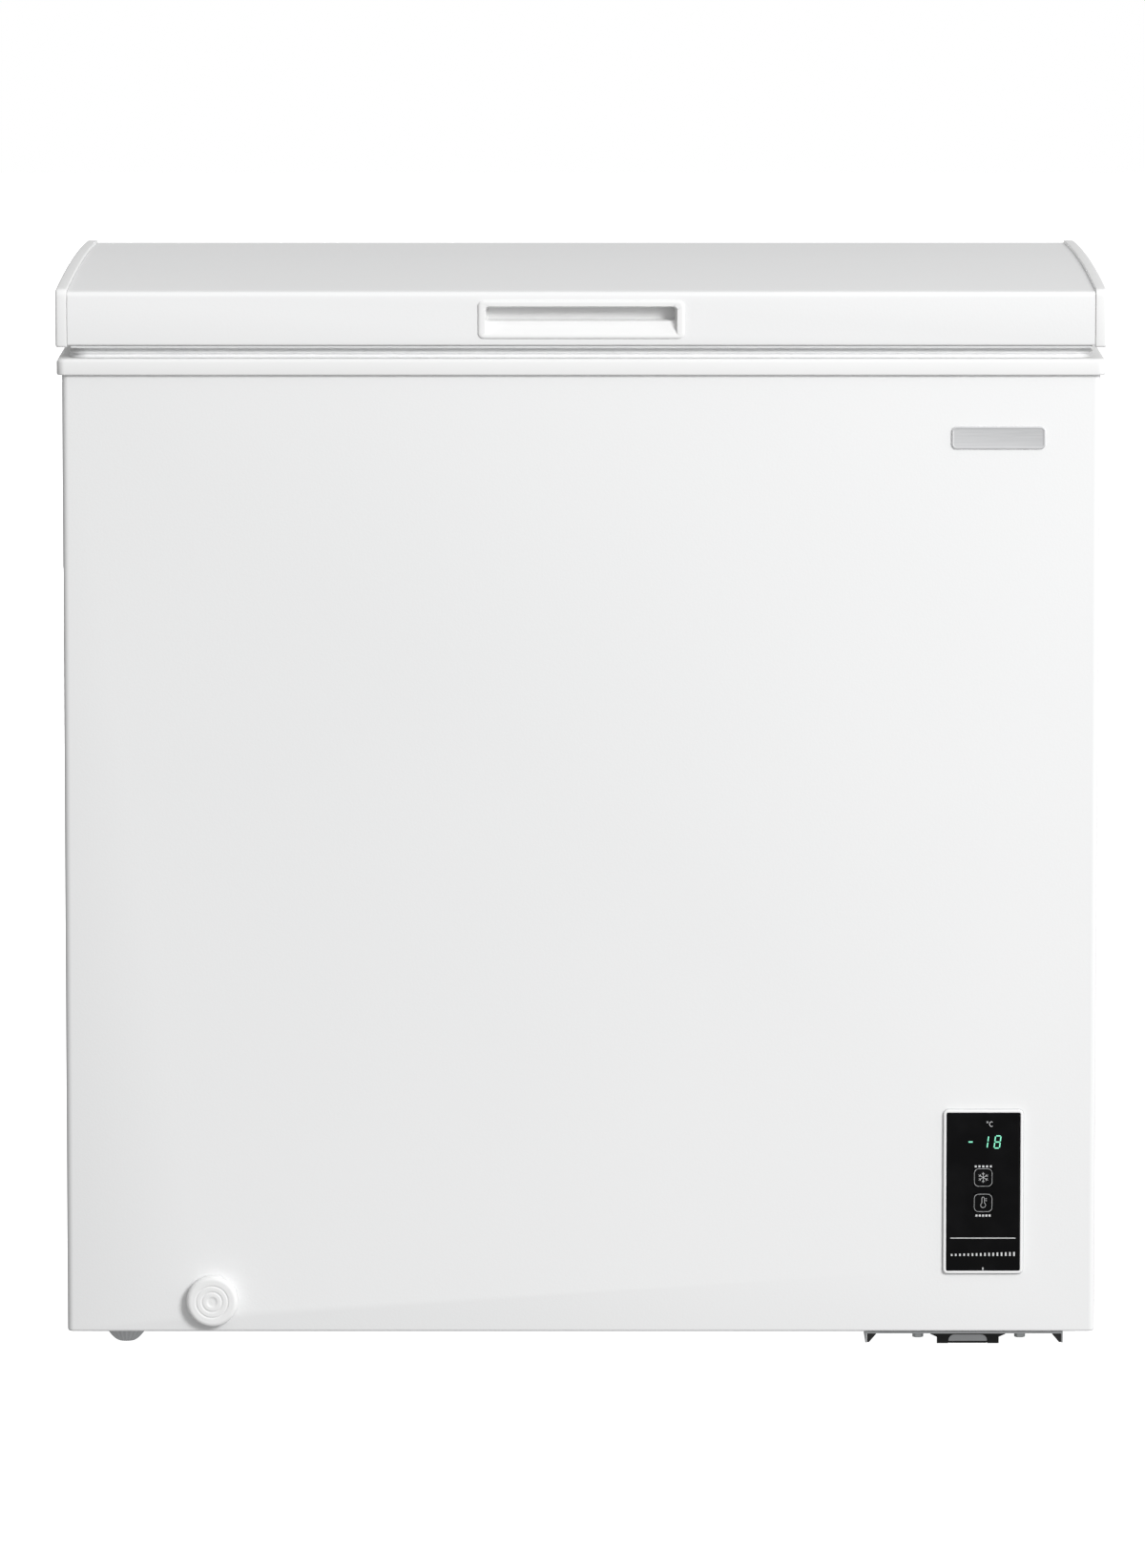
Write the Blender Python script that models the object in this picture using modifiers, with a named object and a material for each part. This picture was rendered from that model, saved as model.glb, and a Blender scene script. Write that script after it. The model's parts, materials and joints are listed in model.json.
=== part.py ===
"""Chest freezer: foamed cabinet, sprung top lid, cooling circuit, controls, basket and drain.

Metres, +Z up, front at -Y, X to the right seen from the front. The feet stand on z = 0.
Everything hangs on one empty at the middle of the cabinet, so the sizes below are cabinet sizes.
"""
import math

import bmesh
import bpy
from mathutils import Matrix, Vector

# ---- Fits ----
GAP = 0.0003                 # between pieces that touch
RUNNING_GAP = 0.0008         # beside pieces that move past each other
MERGE = 0.00001

# ---- Cabinet ----
CABINET_WIDTH = 0.816
CABINET_DEPTH = 0.528
CABINET_BASE = 0.015         # ground clearance
CABINET_HEIGHT = 0.7625      # sheet-metal walls
CORNER_RADIUS = 0.005
SHEET = 0.0008
REAR_LIP = 0.014             # wall sheet folded round the back corners
FRONT_FLANGE = 0.020         # wall sheet folded under the front

# ---- Insulation and liner ----
WALL = 0.055                 # outer face to the storage space, on all four sides
FLOOR_WALL = 0.060
LINER_SHEET = 0.002
LINER_RADIUS = 0.012
STEP_WALL = 0.047            # insulation between the machine bay and the storage space

# ---- Machine bay, at the lower right ----
BAY_SIDE_ROOM = 0.0302       # compressor to the bay's inner wall
BAY_HEIGHT = 0.235
BAY_WINDOW_INSET = 0.016     # rear opening, in from the bay's sides
BAY_WINDOW_SILL = 0.015

# ---- Collar round the top opening ----
COLLAR_HEIGHT = 0.013
COLLAR_OVERHANG = 0.004
COLLAR_RADIUS = 0.006
LEDGE_WIDTH = 0.008          # rebate that carries the basket
LEDGE_DEPTH = 0.0085

# ---- Lid ----
LID_SIDE_OVERHANG = 0.0045   # past the cabinet's sides
LID_FACE_OVERHANG = 0.005    # past its front and back
LID_SEAM = 0.0105            # collar top to the lid's hem
LID_EDGE_HEIGHT = 0.0425
LID_DOME = 0.0045
LID_EDGE_RADIUS = 0.004
LID_HEM = 0.012
CAP_WIDTH = 0.009
CAP_PROUD = 0.002
CAP_DROP = 0.0015
CAP_BEVEL = 0.0018
LID_LINER_SHEET = 0.0015
LID_LINER_INSET = 0.003
PLUG_CLEARANCE = 0.008       # lid liner's raised middle to the storage walls
PLUG_DROP = 0.0112
GASKET_INSET = 0.016
GASKET_WIDTH = 0.014
GASKET_RADIUS = 0.010

# ---- Lid handle ----
HANDLE_WIDTH = 0.162
HANDLE_HEIGHT = 0.030
HANDLE_RISE = 0.0055         # lid hem to the frame's lower edge
HANDLE_RIM = 0.0055
HANDLE_WALL = 0.002
HANDLE_DEPTH = 0.020
HANDLE_PROUD = 0.001
HANDLE_RADIUS = 0.004

# ---- Lid hinges ----
HINGE_SPACING = 0.540
LID_OPENING = math.radians(80.0)
PIVOT_BEHIND = 0.020         # cabinet back to the pivot
PIVOT_ABOVE = 0.0045         # collar top to the pivot
PIN_RADIUS = 0.003
EAR_RADIUS = 0.012
BRACKET_SHEET = 0.002
BASE_WIDTH = 0.040
BASE_DROP = 0.115            # pivot to the spring seat's underside
ARM_HEIGHT = 0.040
ARM_CHEEK_RADIUS = 0.011
NOSE_RADIUS = 0.003
NOSE_REACH = 0.0168          # pivot to the centre of the plunger's nose, lid shut
CAM_RATE = 0.005             # plunger rise per radian of lid
CAM_LOBE = math.radians(60.0)
PLUNGER_WIDTH = 0.024
PLUNGER_DEPTH = 0.018
PLUNGER_HEAD = 0.010
PLUNGER_NECK = 0.002
STEM_RADIUS = 0.005
STEM_LENGTH = 0.038
SPRING_RADIUS = 0.008
SPRING_WIRE = 0.0012
SPRING_TURNS = 6

# ---- Basket ----
BASKET_LENGTH = 0.300
BASKET_HEIGHT = 0.190
BASKET_WIRE = 0.003
BASKET_SIDE_GAP = 0.002      # to the storage walls, front and back
BASKET_END_GAP = 0.008       # to the storage walls at each end of its travel
BASKET_RADIUS = 0.010
BASKET_SIDE_DROP = 0.010     # end walls below the hangers
BASKET_HANGER = 0.0065       # reach over the ledge, past the storage wall
BASKET_BARS_X = 5
BASKET_BARS_Y = 6
BASKET_BARS_Z = 2
BASKET_BAR = 0.005

# ---- Controls, at the lower right of the front ----
PANEL_WIDTH = 0.0633
PANEL_HEIGHT = 0.1316
PANEL_FROM_SIDE = 0.0892     # cabinet's right face to the panel's middle
PANEL_Z = 0.1279
PANEL_RADIUS = 0.0023
PANEL_RIM = 0.0023
PANEL_PROUD = 0.0027
SLEEVE_INSET = 0.00315
SLEEVE_WALL = 0.0015
SLEEVE_DEPTH = 0.014
WINDOW_SHEET = 0.001
WINDOW_RECESS = 0.0002
PANEL_LEDGE = 0.0009
BOARD_SHEET = 0.0016
BOARD_DEPTH = 0.008          # cabinet front to the board
DISPLAY_WIDTH = 0.032
DISPLAY_HEIGHT = 0.018
DISPLAY_ABOVE = 0.0407       # panel middle to the display's middle
KEY_SIZE = 0.0145
KEY_ABOVE = (0.0116, -0.0088)
KEY_TRAVEL = 0.0006
KEY_FLANGE = 0.001
KEY_STEM = 0.005
SWITCH_SIZE = 0.006
SWITCH_SLACK = 0.0002
BOX_WALL = 0.0015
BOX_SLACK = 0.0020

# ---- Nameplate ----
PLATE_WIDTH = 0.074
PLATE_HEIGHT = 0.018
PLATE_SHEET = 0.0012
PLATE_FROM_SIDE = 0.080
PLATE_Z = 0.728
PLATE_RADIUS = 0.004

# ---- Drain, at the lower left ----
DRAIN_FROM_SIDE = 0.1152
DRAIN_Z = 0.0404
DRAIN_BACK = 0.114           # cabinet front to the hole in the storage floor
PIPE_RADIUS = 0.010
PIPE_BORE = 0.0078
PIPE_BEND = 0.010
SPOUT_RADIUS = 0.0075
SPOUT_BORE = 0.0050
SPOUT_LENGTH = 0.062
KNOB_RADIUS = 0.02035
KNOB_LENGTH = 0.0095
KNOB_RIM = 0.0025
KNOB_SOCKET = 0.004
KNOB_GROOVE = 0.0127
KNOB_BOSS = 0.0074
KNOB_RELIEF = 0.0006         # height of its steps
KNOB_DIMPLE = 0.0038
STOPPER_RADIUS = 0.012
STOPPER_HEAD = 0.005
STOPPER_STEM = 0.020
STOPPER_GRIP = 0.012

# ---- Feet ----
FOOT_INSET = 0.045
FOOT_RADIUS = 0.017
FOOT_LIP = 0.003             # upright band above the dome
FOOT_TIP = 0.006
FOOT_STUD = 0.004
FOOT_STUD_LENGTH = 0.032
TRAY_FOOT_WIDTH = 0.038
TRAY_FOOT_DEPTH = 0.026
TRAY_FOOT_FLARE = 0.011
TRAY_FOOT_INSET = 0.032      # cabinet front or back to the foot's near face
TRAY_FOOT_FLANGE = 0.002

# ---- Compressor tray ----
TRAY_WIDTH = 0.157
TRAY_FROM_SIDE = 0.0252
TRAY_SHEET = 0.0012
TRAY_FLANGE = 0.0085
TAB_WIDTH = 0.031
TAB_DROP = 0.0115
SCREW_SPACING = 0.081
SCREW_BACK = 0.011
SCREW_RADIUS = 0.0022
SCREW_HEAD = 0.0045
SCREW_HEAD_HEIGHT = 0.0042
SCREW_LENGTH = 0.009

# ---- Compressor ----
COMPRESSOR_SIDE_ROOM = 0.0328    # cabinet sheet to the compressor
COMPRESSOR_FROM_BACK = 0.174
COMPRESSOR_RADIUS = 0.066
COMPRESSOR_STRETCH = 1.27    # along Y
COMPRESSOR_WALL = 0.003
COMPRESSOR_SEAM = 0.090      # underside to the seam
COMPRESSOR_HEIGHT = 0.155
COMPRESSOR_FLOOR = 0.045     # flat radius underneath and on top
SHOULDER_RISE = 0.6          # height of the lower shoulder, by its width
SHOULDER_TURN = (0.4, 0.3)   # the lower shoulder's bend, in and up, by its height
CROWN_EXTRA = 0.004          # how much taller the upper shoulder is
CROWN_TURN = (0.3, 0.5)      # the upper shoulder's bend: in by the lower height, down by its own
CROWN_FALL = (1.6, 1.7)      # the upper shoulder's outer and inner ends, by its height
SEAM_LAP = 0.004
BASE_STRAP = 0.0025
BOLT_SPACING_X = 0.081
BOLT_SPACING_Y = 0.170
BOLT_RADIUS = 0.003
BOLT_HEAD = 0.0055
BOLT_HEAD_HEIGHT = 0.0045
BOLT_TAIL = 0.005
GROMMET_HEIGHT = 0.016
GROMMET_RADIUS = 0.009
GROMMET_WAIST = 0.0065
RELAY_SIZE = (0.050, 0.032, 0.060)
RELAY_RADIUS = 0.004

# ---- Cooling circuit ----
CONDENSER_TUBE = 0.0025
CONDENSER_RUNS = 4
CONDENSER_PITCH = 0.180
CONDENSER_FIRST = 0.090
CONDENSER_TURN = 0.037       # bay wall to the U-turns
CONDENSER_RETURN = 0.012     # bay wall to the downward leg
CONDENSER_BACK_Z = 0.150
LEAD_INSET = 0.014           # shell to the leads that enter the bay
LEAD_RUN = 0.014             # bay wall to the leads inside the bay
EVAPORATOR_TUBE = 0.004
EVAPORATOR_LOOPS = 4
EVAPORATOR_PITCH = 0.110
EVAPORATOR_ABOVE = 0.060     # step to the first loop
EVAPORATOR_INLET_IN = 0.0878     # bay wall to the riser
EVAPORATOR_OUTLET_IN = 0.0278    # bay wall to the downpipe
EVAPORATOR_LAP = 0.030
EVAPORATOR_LAYER = 0.010
SUCTION_Z = 0.110
DRIER_RADIUS = 0.008
DRIER_LENGTH = 0.090
DRIER_FROM_BACK = 0.164      # the back to the drier's front end
CAPILLARY_TUBE = 0.0012
TUBE_BEND = 0.012
COIL_BEND = 0.7              # reach of a coil's bend, in tube radii, that its square channel allows

# ---- Rear grille and cable gland ----
GRILLE_LAP = 0.006
GRILLE_SHEET = 0.0012
GRILLE_SLOTS = 9
GRILLE_SLOT_HEIGHT = 0.007
GRILLE_MARGIN = 0.020
GLAND_RADIUS = 0.009
GLAND_FLANGE = 0.012
GLAND_BORE = 0.0035
GLAND_INSET = 0.017

# ---- Places worked out from the sizes ----
HALF_W = CABINET_WIDTH / 2
HALF_D = CABINET_DEPTH / 2
CABINET_TOP = CABINET_BASE + CABINET_HEIGHT
LID_WIDTH = CABINET_WIDTH + 2 * LID_SIDE_OVERHANG
LID_DEPTH = CABINET_DEPTH + 2 * LID_FACE_OVERHANG
COLLAR_TOP = CABINET_TOP + COLLAR_HEIGHT
LID_HEM_Z = COLLAR_TOP + LID_SEAM
LID_EDGE_Z = LID_HEM_Z + LID_EDGE_HEIGHT
INNER_W = HALF_W - SHEET - GAP
INNER_D = HALF_D - SHEET - GAP
PLATE_LOW = CABINET_BASE + SHEET + GAP
PLATE_HIGH = PLATE_LOW + SHEET
ROOM_W = HALF_W - WALL
ROOM_D = HALF_D - WALL
ROOM_FLOOR = CABINET_BASE + FLOOR_WALL
BAY_WIDTH = COMPRESSOR_SIDE_ROOM + 2 * COMPRESSOR_RADIUS + BAY_SIDE_ROOM
BAY_X = HALF_W - SHEET - BAY_WIDTH
BAY_TOP = CABINET_BASE + BAY_HEIGHT
STEP_X = BAY_X - STEP_WALL
STEP_Z = BAY_TOP + STEP_WALL
LEDGE_Z = COLLAR_TOP - LEDGE_DEPTH
PIVOT_Y = HALF_D + PIVOT_BEHIND
PIVOT_Z = COLLAR_TOP + PIVOT_ABOVE
FRONT_REACH = HALF_D + GAP + KNOB_LENGTH
REAR_REACH = PIVOT_Y + EAR_RADIUS
FRAME_Y = (FRONT_REACH - REAR_REACH) / 2
TRAY_TOP = CABINET_BASE - GAP
TRAY_LOW = TRAY_TOP - TRAY_SHEET
TRAY_RIGHT = HALF_W - TRAY_FROM_SIDE
TRAY_LEFT = TRAY_RIGHT - TRAY_WIDTH
COMPRESSOR_Y = HALF_D - COMPRESSOR_FROM_BACK
DRIER_START = HALF_D - DRIER_FROM_BACK
COMPRESSOR_X = HALF_W - SHEET - COMPRESSOR_SIDE_ROOM - COMPRESSOR_RADIUS
EVAPORATOR_INLET = BAY_X + EVAPORATOR_INLET_IN
EVAPORATOR_OUTLET = BAY_X + EVAPORATOR_OUTLET_IN
STRAP_Z = TRAY_TOP + GAP + GROMMET_HEIGHT + GAP
SEAM_Z = STRAP_Z + COMPRESSOR_SEAM
PANEL_X = HALF_W - PANEL_FROM_SIDE
DRAIN_X = -HALF_W + DRAIN_FROM_SIDE
DRAIN_Y = -HALF_D + DRAIN_BACK
BASKET_X = ROOM_W - BASKET_END_GAP - BASKET_LENGTH / 2
BASKET_HALF_D = ROOM_D - BASKET_SIDE_GAP
LEAD_Y = -HALF_D + LEAD_INSET
LEAD_X = BAY_X + LEAD_RUN
OVERSHOOT = 0.01             # how far a cutter runs past the faces it opens
DRILL = 0.02                 # length of the cutter for a hole through a sheet


# ---------------------------------------------------------------- building blocks

def clear_scene():
    for old in list(bpy.data.objects):
        bpy.data.objects.remove(old, do_unlink=True)


def new_collection(name):
    made = bpy.data.collections.new(name)
    bpy.context.scene.collection.children.link(made)
    return made


def new_material(name, colour, roughness, metallic=0.0):
    made = bpy.data.materials.new(name)
    made.use_nodes = True
    shader = made.node_tree.nodes["Principled BSDF"]
    shader.inputs["Base Color"].default_value = (*colour, 1.0)
    shader.inputs["Roughness"].default_value = roughness
    shader.inputs["Metallic"].default_value = metallic
    return made


def new_object(name, data, place=(0, 0, 0), material=None, parent=None):
    """A piece of the freezer, hung on its parent empty; places are cabinet places."""
    made = bpy.data.objects.new(name, data)
    PARTS.objects.link(made)
    made.parent = parent or CABINET
    made.location = Vector(place) - Vector(made.parent.get("place", (0, 0, 0)))
    if material:
        data.materials.append(material)
    return made


def new_axis(name, place):
    """An empty on a joint's axis, which carries what moves about it."""
    made = bpy.data.objects.new(name, None)
    PARTS.objects.link(made)
    made.parent = CABINET
    made.location = place
    made["place"] = place
    return made


def as_cutter(piece):
    PARTS.objects.unlink(piece)
    CUTTERS.objects.link(piece)
    piece.hide_render = True
    piece.display_type = "WIRE"
    return piece


def combine(piece, others, operation):
    for other in others:
        step = piece.modifiers.new(other.name, "BOOLEAN")
        step.operation = operation
        step.solver = "EXACT"
        step.object = as_cutter(other)


def cut(piece, *others):
    combine(piece, others, "DIFFERENCE")


def fuse(piece, *others):
    combine(piece, others, "UNION")


def round_shading(piece, degrees=35.0):
    piece.data.shade_smooth()
    piece.data.set_sharp_from_angle(angle=math.radians(degrees))


def box(name, low, high, material=None, parent=None, radius=0.0, axis=2, segments=3):
    """A block between two corners; radius rounds its four edges along the axis."""
    low, high = Vector(low), Vector(high)
    shape = bmesh.new()
    bmesh.ops.create_cube(shape, size=1.0, matrix=Matrix.Diagonal((*(high - low), 1.0)))
    if radius:
        along = [e for e in shape.edges if abs((e.verts[0].co - e.verts[1].co)[axis]) > MERGE]
        bmesh.ops.bevel(shape, geom=along, offset=radius, segments=segments, profile=0.5, affect="EDGES")
    mesh = bpy.data.meshes.new(name)
    shape.to_mesh(mesh)
    shape.free()
    return new_object(name, mesh, (low + high) / 2, material, parent)


def boxes(name, corners):
    """Several blocks in one cutter."""
    shape = bmesh.new()
    for low, high in corners:
        low, high = Vector(low), Vector(high)
        place = Matrix.Translation((low + high) / 2) @ Matrix.Diagonal((*(high - low), 1.0))
        bmesh.ops.create_cube(shape, size=1.0, matrix=place)
    mesh = bpy.data.meshes.new(name)
    shape.to_mesh(mesh)
    shape.free()
    return new_object(name, mesh)


TURNS = {"X": (0, math.pi / 2, 0), "Y": (math.pi / 2, 0, 0), "Z": (0, 0, 0)}


def rod(name, centre, radius, length, axis="Z", sides=24, material=None, parent=None):
    shape = bmesh.new()
    bmesh.ops.create_cone(shape, cap_ends=True, segments=sides, radius1=radius, radius2=radius, depth=length)
    mesh = bpy.data.meshes.new(name)
    shape.to_mesh(mesh)
    shape.free()
    made = new_object(name, mesh, centre, material, parent)
    made.rotation_euler = TURNS[axis]
    round_shading(made)
    return made


def rods(name, centres, radius, length, axis="Z", sides=16):
    """Several equal rods in one cutter."""
    turn = {"X": Matrix.Rotation(math.pi / 2, 4, "Y"), "Y": Matrix.Rotation(math.pi / 2, 4, "X"),
            "Z": Matrix.Identity(4)}[axis]
    shape = bmesh.new()
    for centre in centres:
        bmesh.ops.create_cone(shape, cap_ends=True, segments=sides, radius1=radius, radius2=radius,
                              depth=length, matrix=Matrix.Translation(centre) @ turn)
    mesh = bpy.data.meshes.new(name)
    shape.to_mesh(mesh)
    shape.free()
    return new_object(name, mesh)


def turned(name, profile, place, material=None, parent=None, axis="Z", steps=24, closed=False):
    """A profile of (radius, height) points, top to bottom down its outer side, turned about the axis."""
    mesh = bpy.data.meshes.new(name)
    count = len(profile)
    edges = [(i, (i + 1) % count) for i in range(count if closed else count - 1)]
    mesh.from_pydata([(r, 0.0, z) for r, z in profile], edges, [])
    made = new_object(name, mesh, place, material, parent)
    made.rotation_euler = TURNS[axis]
    screw = made.modifiers.new("turn", "SCREW")
    screw.steps = steps
    screw.render_steps = steps
    screw.use_merge_vertices = True
    screw.merge_threshold = MERGE
    screw.use_smooth_shade = False
    return made


def tube(name, points, radius, material=None, parent=None, resolution=2):
    """A round wire or tube along a list of points."""
    data = bpy.data.curves.new(name, "CURVE")
    data.dimensions = "3D"
    data.bevel_depth = radius
    data.bevel_resolution = resolution
    data.use_fill_caps = True
    line = data.splines.new("POLY")
    line.points.add(len(points) - 1)
    for point, place in zip(line.points, points):
        point.co = (*place, 1.0)
    return new_object(name, data, (0, 0, 0), material, parent)


def flat(name, outline, low, high, plane, material=None, parent=None):
    """A flat outline in the named plane, thick from low to high along the third axis."""
    data = bpy.data.curves.new(name, "CURVE")
    data.dimensions = "2D"
    data.fill_mode = "BOTH"
    data.extrude = (high - low) / 2
    line = data.splines.new("POLY")
    line.points.add(len(outline) - 1)
    for point, (first, second) in zip(line.points, outline):
        point.co = (first, second, 0.0, 1.0)
    line.use_cyclic_u = True
    middle = (low + high) / 2
    columns = {"YZ": ((0, 1, 0), (0, 0, 1), (1, 0, 0)), "XZ": ((1, 0, 0), (0, 0, 1), (0, -1, 0)),
               "XY": ((1, 0, 0), (0, 1, 0), (0, 0, 1))}[plane]
    basis = Matrix(columns).transposed().to_4x4()
    place = {"YZ": (middle, 0, 0), "XZ": (0, middle, 0), "XY": (0, 0, middle)}[plane]
    made = new_object(name, data, place, material, parent)
    made.rotation_euler = basis.to_euler()
    return as_mesh(made)


def as_mesh(curve):
    """The same shape as a closed mesh, so that it can be cut and joined."""
    bpy.context.view_layer.update()
    seen = curve.evaluated_get(bpy.context.evaluated_depsgraph_get())
    mesh = bpy.data.meshes.new_from_object(seen)
    shape = bmesh.new()
    shape.from_mesh(mesh)
    bmesh.ops.remove_doubles(shape, verts=shape.verts, dist=MERGE)
    bmesh.ops.recalc_face_normals(shape, faces=shape.faces)
    shape.to_mesh(mesh)
    shape.free()
    name = curve.name
    parent = curve.parent
    matrix = curve.matrix_world.copy()
    bpy.data.objects.remove(curve, do_unlink=True)
    made = bpy.data.objects.new(name, mesh)
    mesh.name = name
    PARTS.objects.link(made)
    made.parent = parent
    made.matrix_world = matrix
    return made


def arc(centre, radius, start, end, steps):
    """Points round a circle in the plane, from one angle to another."""
    for i in range(steps + 1):
        angle = start + (end - start) * i / steps
        yield centre[0] + radius * math.cos(angle), centre[1] + radius * math.sin(angle)


def bent(corners, bend, steps=3):
    """A route through corners with each one rounded, as a bent tube runs."""
    corners = [Vector(c) for c in corners]
    route = [corners[0]]
    for before, corner, after in zip(corners, corners[1:], corners[2:]):
        back, ahead = (before - corner), (after - corner)
        reach = min(bend, back.length * 0.45, ahead.length * 0.45)
        start = corner + back.normalized() * reach
        end = corner + ahead.normalized() * reach
        for i in range(steps + 1):
            share = i / steps
            route.append(start.lerp(corner, share).lerp(corner.lerp(end, share), share))
    route.append(corners[-1])
    return route


# ---------------------------------------------------------------- cabinet

def drill_shell_front():
    """The holes in the cabinet's front sheet: the panel's sleeve and the drain pipe."""
    half_w = PANEL_WIDTH / 2 - SLEEVE_INSET + GAP
    half_h = PANEL_HEIGHT / 2 - SLEEVE_INSET + GAP
    panel = box("panel_hole", (PANEL_X - half_w, -HALF_D - DRILL, PANEL_Z - half_h),
                (PANEL_X + half_w, -HALF_D + DRILL, PANEL_Z + half_h))
    drain = rod("drain_hole", (DRAIN_X, -HALF_D, DRAIN_Z), PIPE_RADIUS + GAP, 2 * DRILL, "Y", sides=16)
    return panel, drain


def make_outer_shell():
    """One sheet wrapped round the front and sides, folded under the front and round the back corners."""
    shell = box("outer_shell", (-HALF_W, -HALF_D, CABINET_BASE), (HALF_W, HALF_D, CABINET_TOP - GAP),
                WHITE_STEEL, radius=CORNER_RADIUS, segments=4)
    room = box("shell_room", (-HALF_W + SHEET, -HALF_D + SHEET, CABINET_BASE + SHEET),
               (HALF_W - SHEET, HALF_D - SHEET, CABINET_TOP + OVERSHOOT),
               radius=CORNER_RADIUS - SHEET, segments=4)
    underside = box("shell_underside", (-HALF_W + SHEET, -HALF_D + SHEET + FRONT_FLANGE, 0),
                    (HALF_W - SHEET, HALF_D - SHEET, CABINET_BASE + 2 * SHEET))
    back = box("shell_back", (-HALF_W + REAR_LIP, HALF_D - OVERSHOOT, 0),
               (HALF_W - REAR_LIP, HALF_D + OVERSHOOT, CABINET_TOP + OVERSHOOT))
    screws = rods("shell_screw_holes", tray_screw_places(), SCREW_RADIUS + GAP, 4 * SCREW_LENGTH)
    cut(shell, room, underside, back, *drill_shell_front(), screws)
    return shell


def make_back_panel():
    edge = HALF_W - REAR_LIP - GAP
    panel = box("back_panel", (-edge, HALF_D - SHEET, CABINET_BASE), (edge, HALF_D, CABINET_TOP - GAP),
                GALVANISED)
    low, high = bay_window()
    cut(panel, box("bay_window", low, high))
    return panel


def bay_window():
    """The opening in the back panel behind the machine bay."""
    right = HALF_W - REAR_LIP - BAY_WINDOW_INSET
    return ((BAY_X + BAY_WINDOW_INSET, HALF_D - OVERSHOOT, CABINET_BASE + BAY_WINDOW_SILL),
            (right, HALF_D + OVERSHOOT, BAY_TOP - BAY_WINDOW_SILL))


def make_floor_plate():
    """The sheet under the foam, stepped up over the machine bay."""
    outline = [(-INNER_W, PLATE_LOW), (BAY_X, PLATE_LOW), (BAY_X, BAY_TOP), (INNER_W, BAY_TOP),
               (INNER_W, BAY_TOP + SHEET), (BAY_X - SHEET, BAY_TOP + SHEET), (BAY_X - SHEET, PLATE_HIGH),
               (-INNER_W, PLATE_HIGH)]
    edge = INNER_D - CORNER_RADIUS
    plate = flat("floor_plate", outline, -edge, edge, "XZ")
    plate.data.materials.append(GALVANISED)
    studs = rods("plate_stud_holes", foot_places(), FOOT_STUD + GAP, 8 * CABINET_BASE)
    leads = rods("plate_lead_holes", [(BAY_X, LEAD_Y, CONDENSER_FIRST), (BAY_X, LEAD_Y, CONDENSER_BACK_Z)],
                 CONDENSER_TUBE + GAP, 0.02, "X")
    outlet = rods("plate_outlet_hole", [outlet_place()], EVAPORATOR_TUBE + GAP, 0.02)
    inlet = rods("plate_inlet_hole", [inlet_place()], CAPILLARY_TUBE + GAP, 0.02)
    cut(plate, studs, leads, outlet, inlet)
    return plate


def make_insulation_foam():
    """Foam between the sheets and the liner, with the channels that the tubes lie in."""
    foam = box("insulation_foam", (-INNER_W, -INNER_D, PLATE_HIGH + GAP),
               (INNER_W, INNER_D, CABINET_TOP - GAP), FOAM, radius=CORNER_RADIUS - SHEET - GAP)
    room = storage_blocks("foam", LINER_SHEET + GAP, CABINET_TOP + OVERSHOOT)
    bay = box("foam_bay", (BAY_X - SHEET - GAP, -HALF_D, 0), (HALF_W, HALF_D, BAY_TOP + SHEET + GAP))
    cut(foam, *room, bay, condenser_channels(), evaporator_channels(), drain_channels(),
        rods("foam_stud_holes", foot_places(), FOOT_STUD + GAP, 2 * (PLATE_HIGH + FOOT_STUD_LENGTH)))
    return foam


def condenser_channels():
    """Square channels round the foam's outside, one for each run, and the legs between them."""
    half = CONDENSER_TUBE + GAP
    floor_x = HALF_W - SHEET - GAP - 2 * half
    floor_y = HALF_D - SHEET - GAP - 2 * half
    past = OVERSHOOT
    blocks = []
    for run in range(CONDENSER_RUNS):
        z = CONDENSER_FIRST + run * CONDENSER_PITCH
        turn = BAY_X - CONDENSER_TURN + half
        front_end = turn
        if run == 0:
            front_end = BAY_X
        elif run == CONDENSER_RUNS - 1:
            front_end = BAY_X - CONDENSER_RETURN + half
        blocks.append(((-HALF_W - past, -HALF_D - past, z - half), (front_end, -floor_y, z + half)))
        blocks.append(((-HALF_W - past, -floor_y - half, z - half), (-floor_x, floor_y + half, z + half)))
        blocks.append(((-HALF_W - past, floor_y, z - half), (turn, HALF_D + past, z + half)))
    for run in range(CONDENSER_RUNS - 1):
        z = CONDENSER_FIRST + run * CONDENSER_PITCH
        right = BAY_X - CONDENSER_TURN + half
        left = right - 2 * half
        at_back = run % 2 == 0
        y_low, y_high = (floor_y, HALF_D + past) if at_back else (-HALF_D - past, -floor_y)
        blocks.append(((left, y_low, z), (right, y_high, z + CONDENSER_PITCH)))
    top = CONDENSER_FIRST + (CONDENSER_RUNS - 1) * CONDENSER_PITCH
    leg = BAY_X - CONDENSER_RETURN
    blocks.append(((leg - half, -HALF_D - past, CONDENSER_BACK_Z - half), (leg + half, -floor_y, top)))
    for z in (CONDENSER_FIRST, CONDENSER_BACK_Z):
        blocks.append(((leg - 2 * half - TUBE_BEND, -HALF_D - past, z - half),
                       (BAY_X, LEAD_Y + half, z + half)))
    return union_of_boxes("condenser_channels", blocks)


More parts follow.
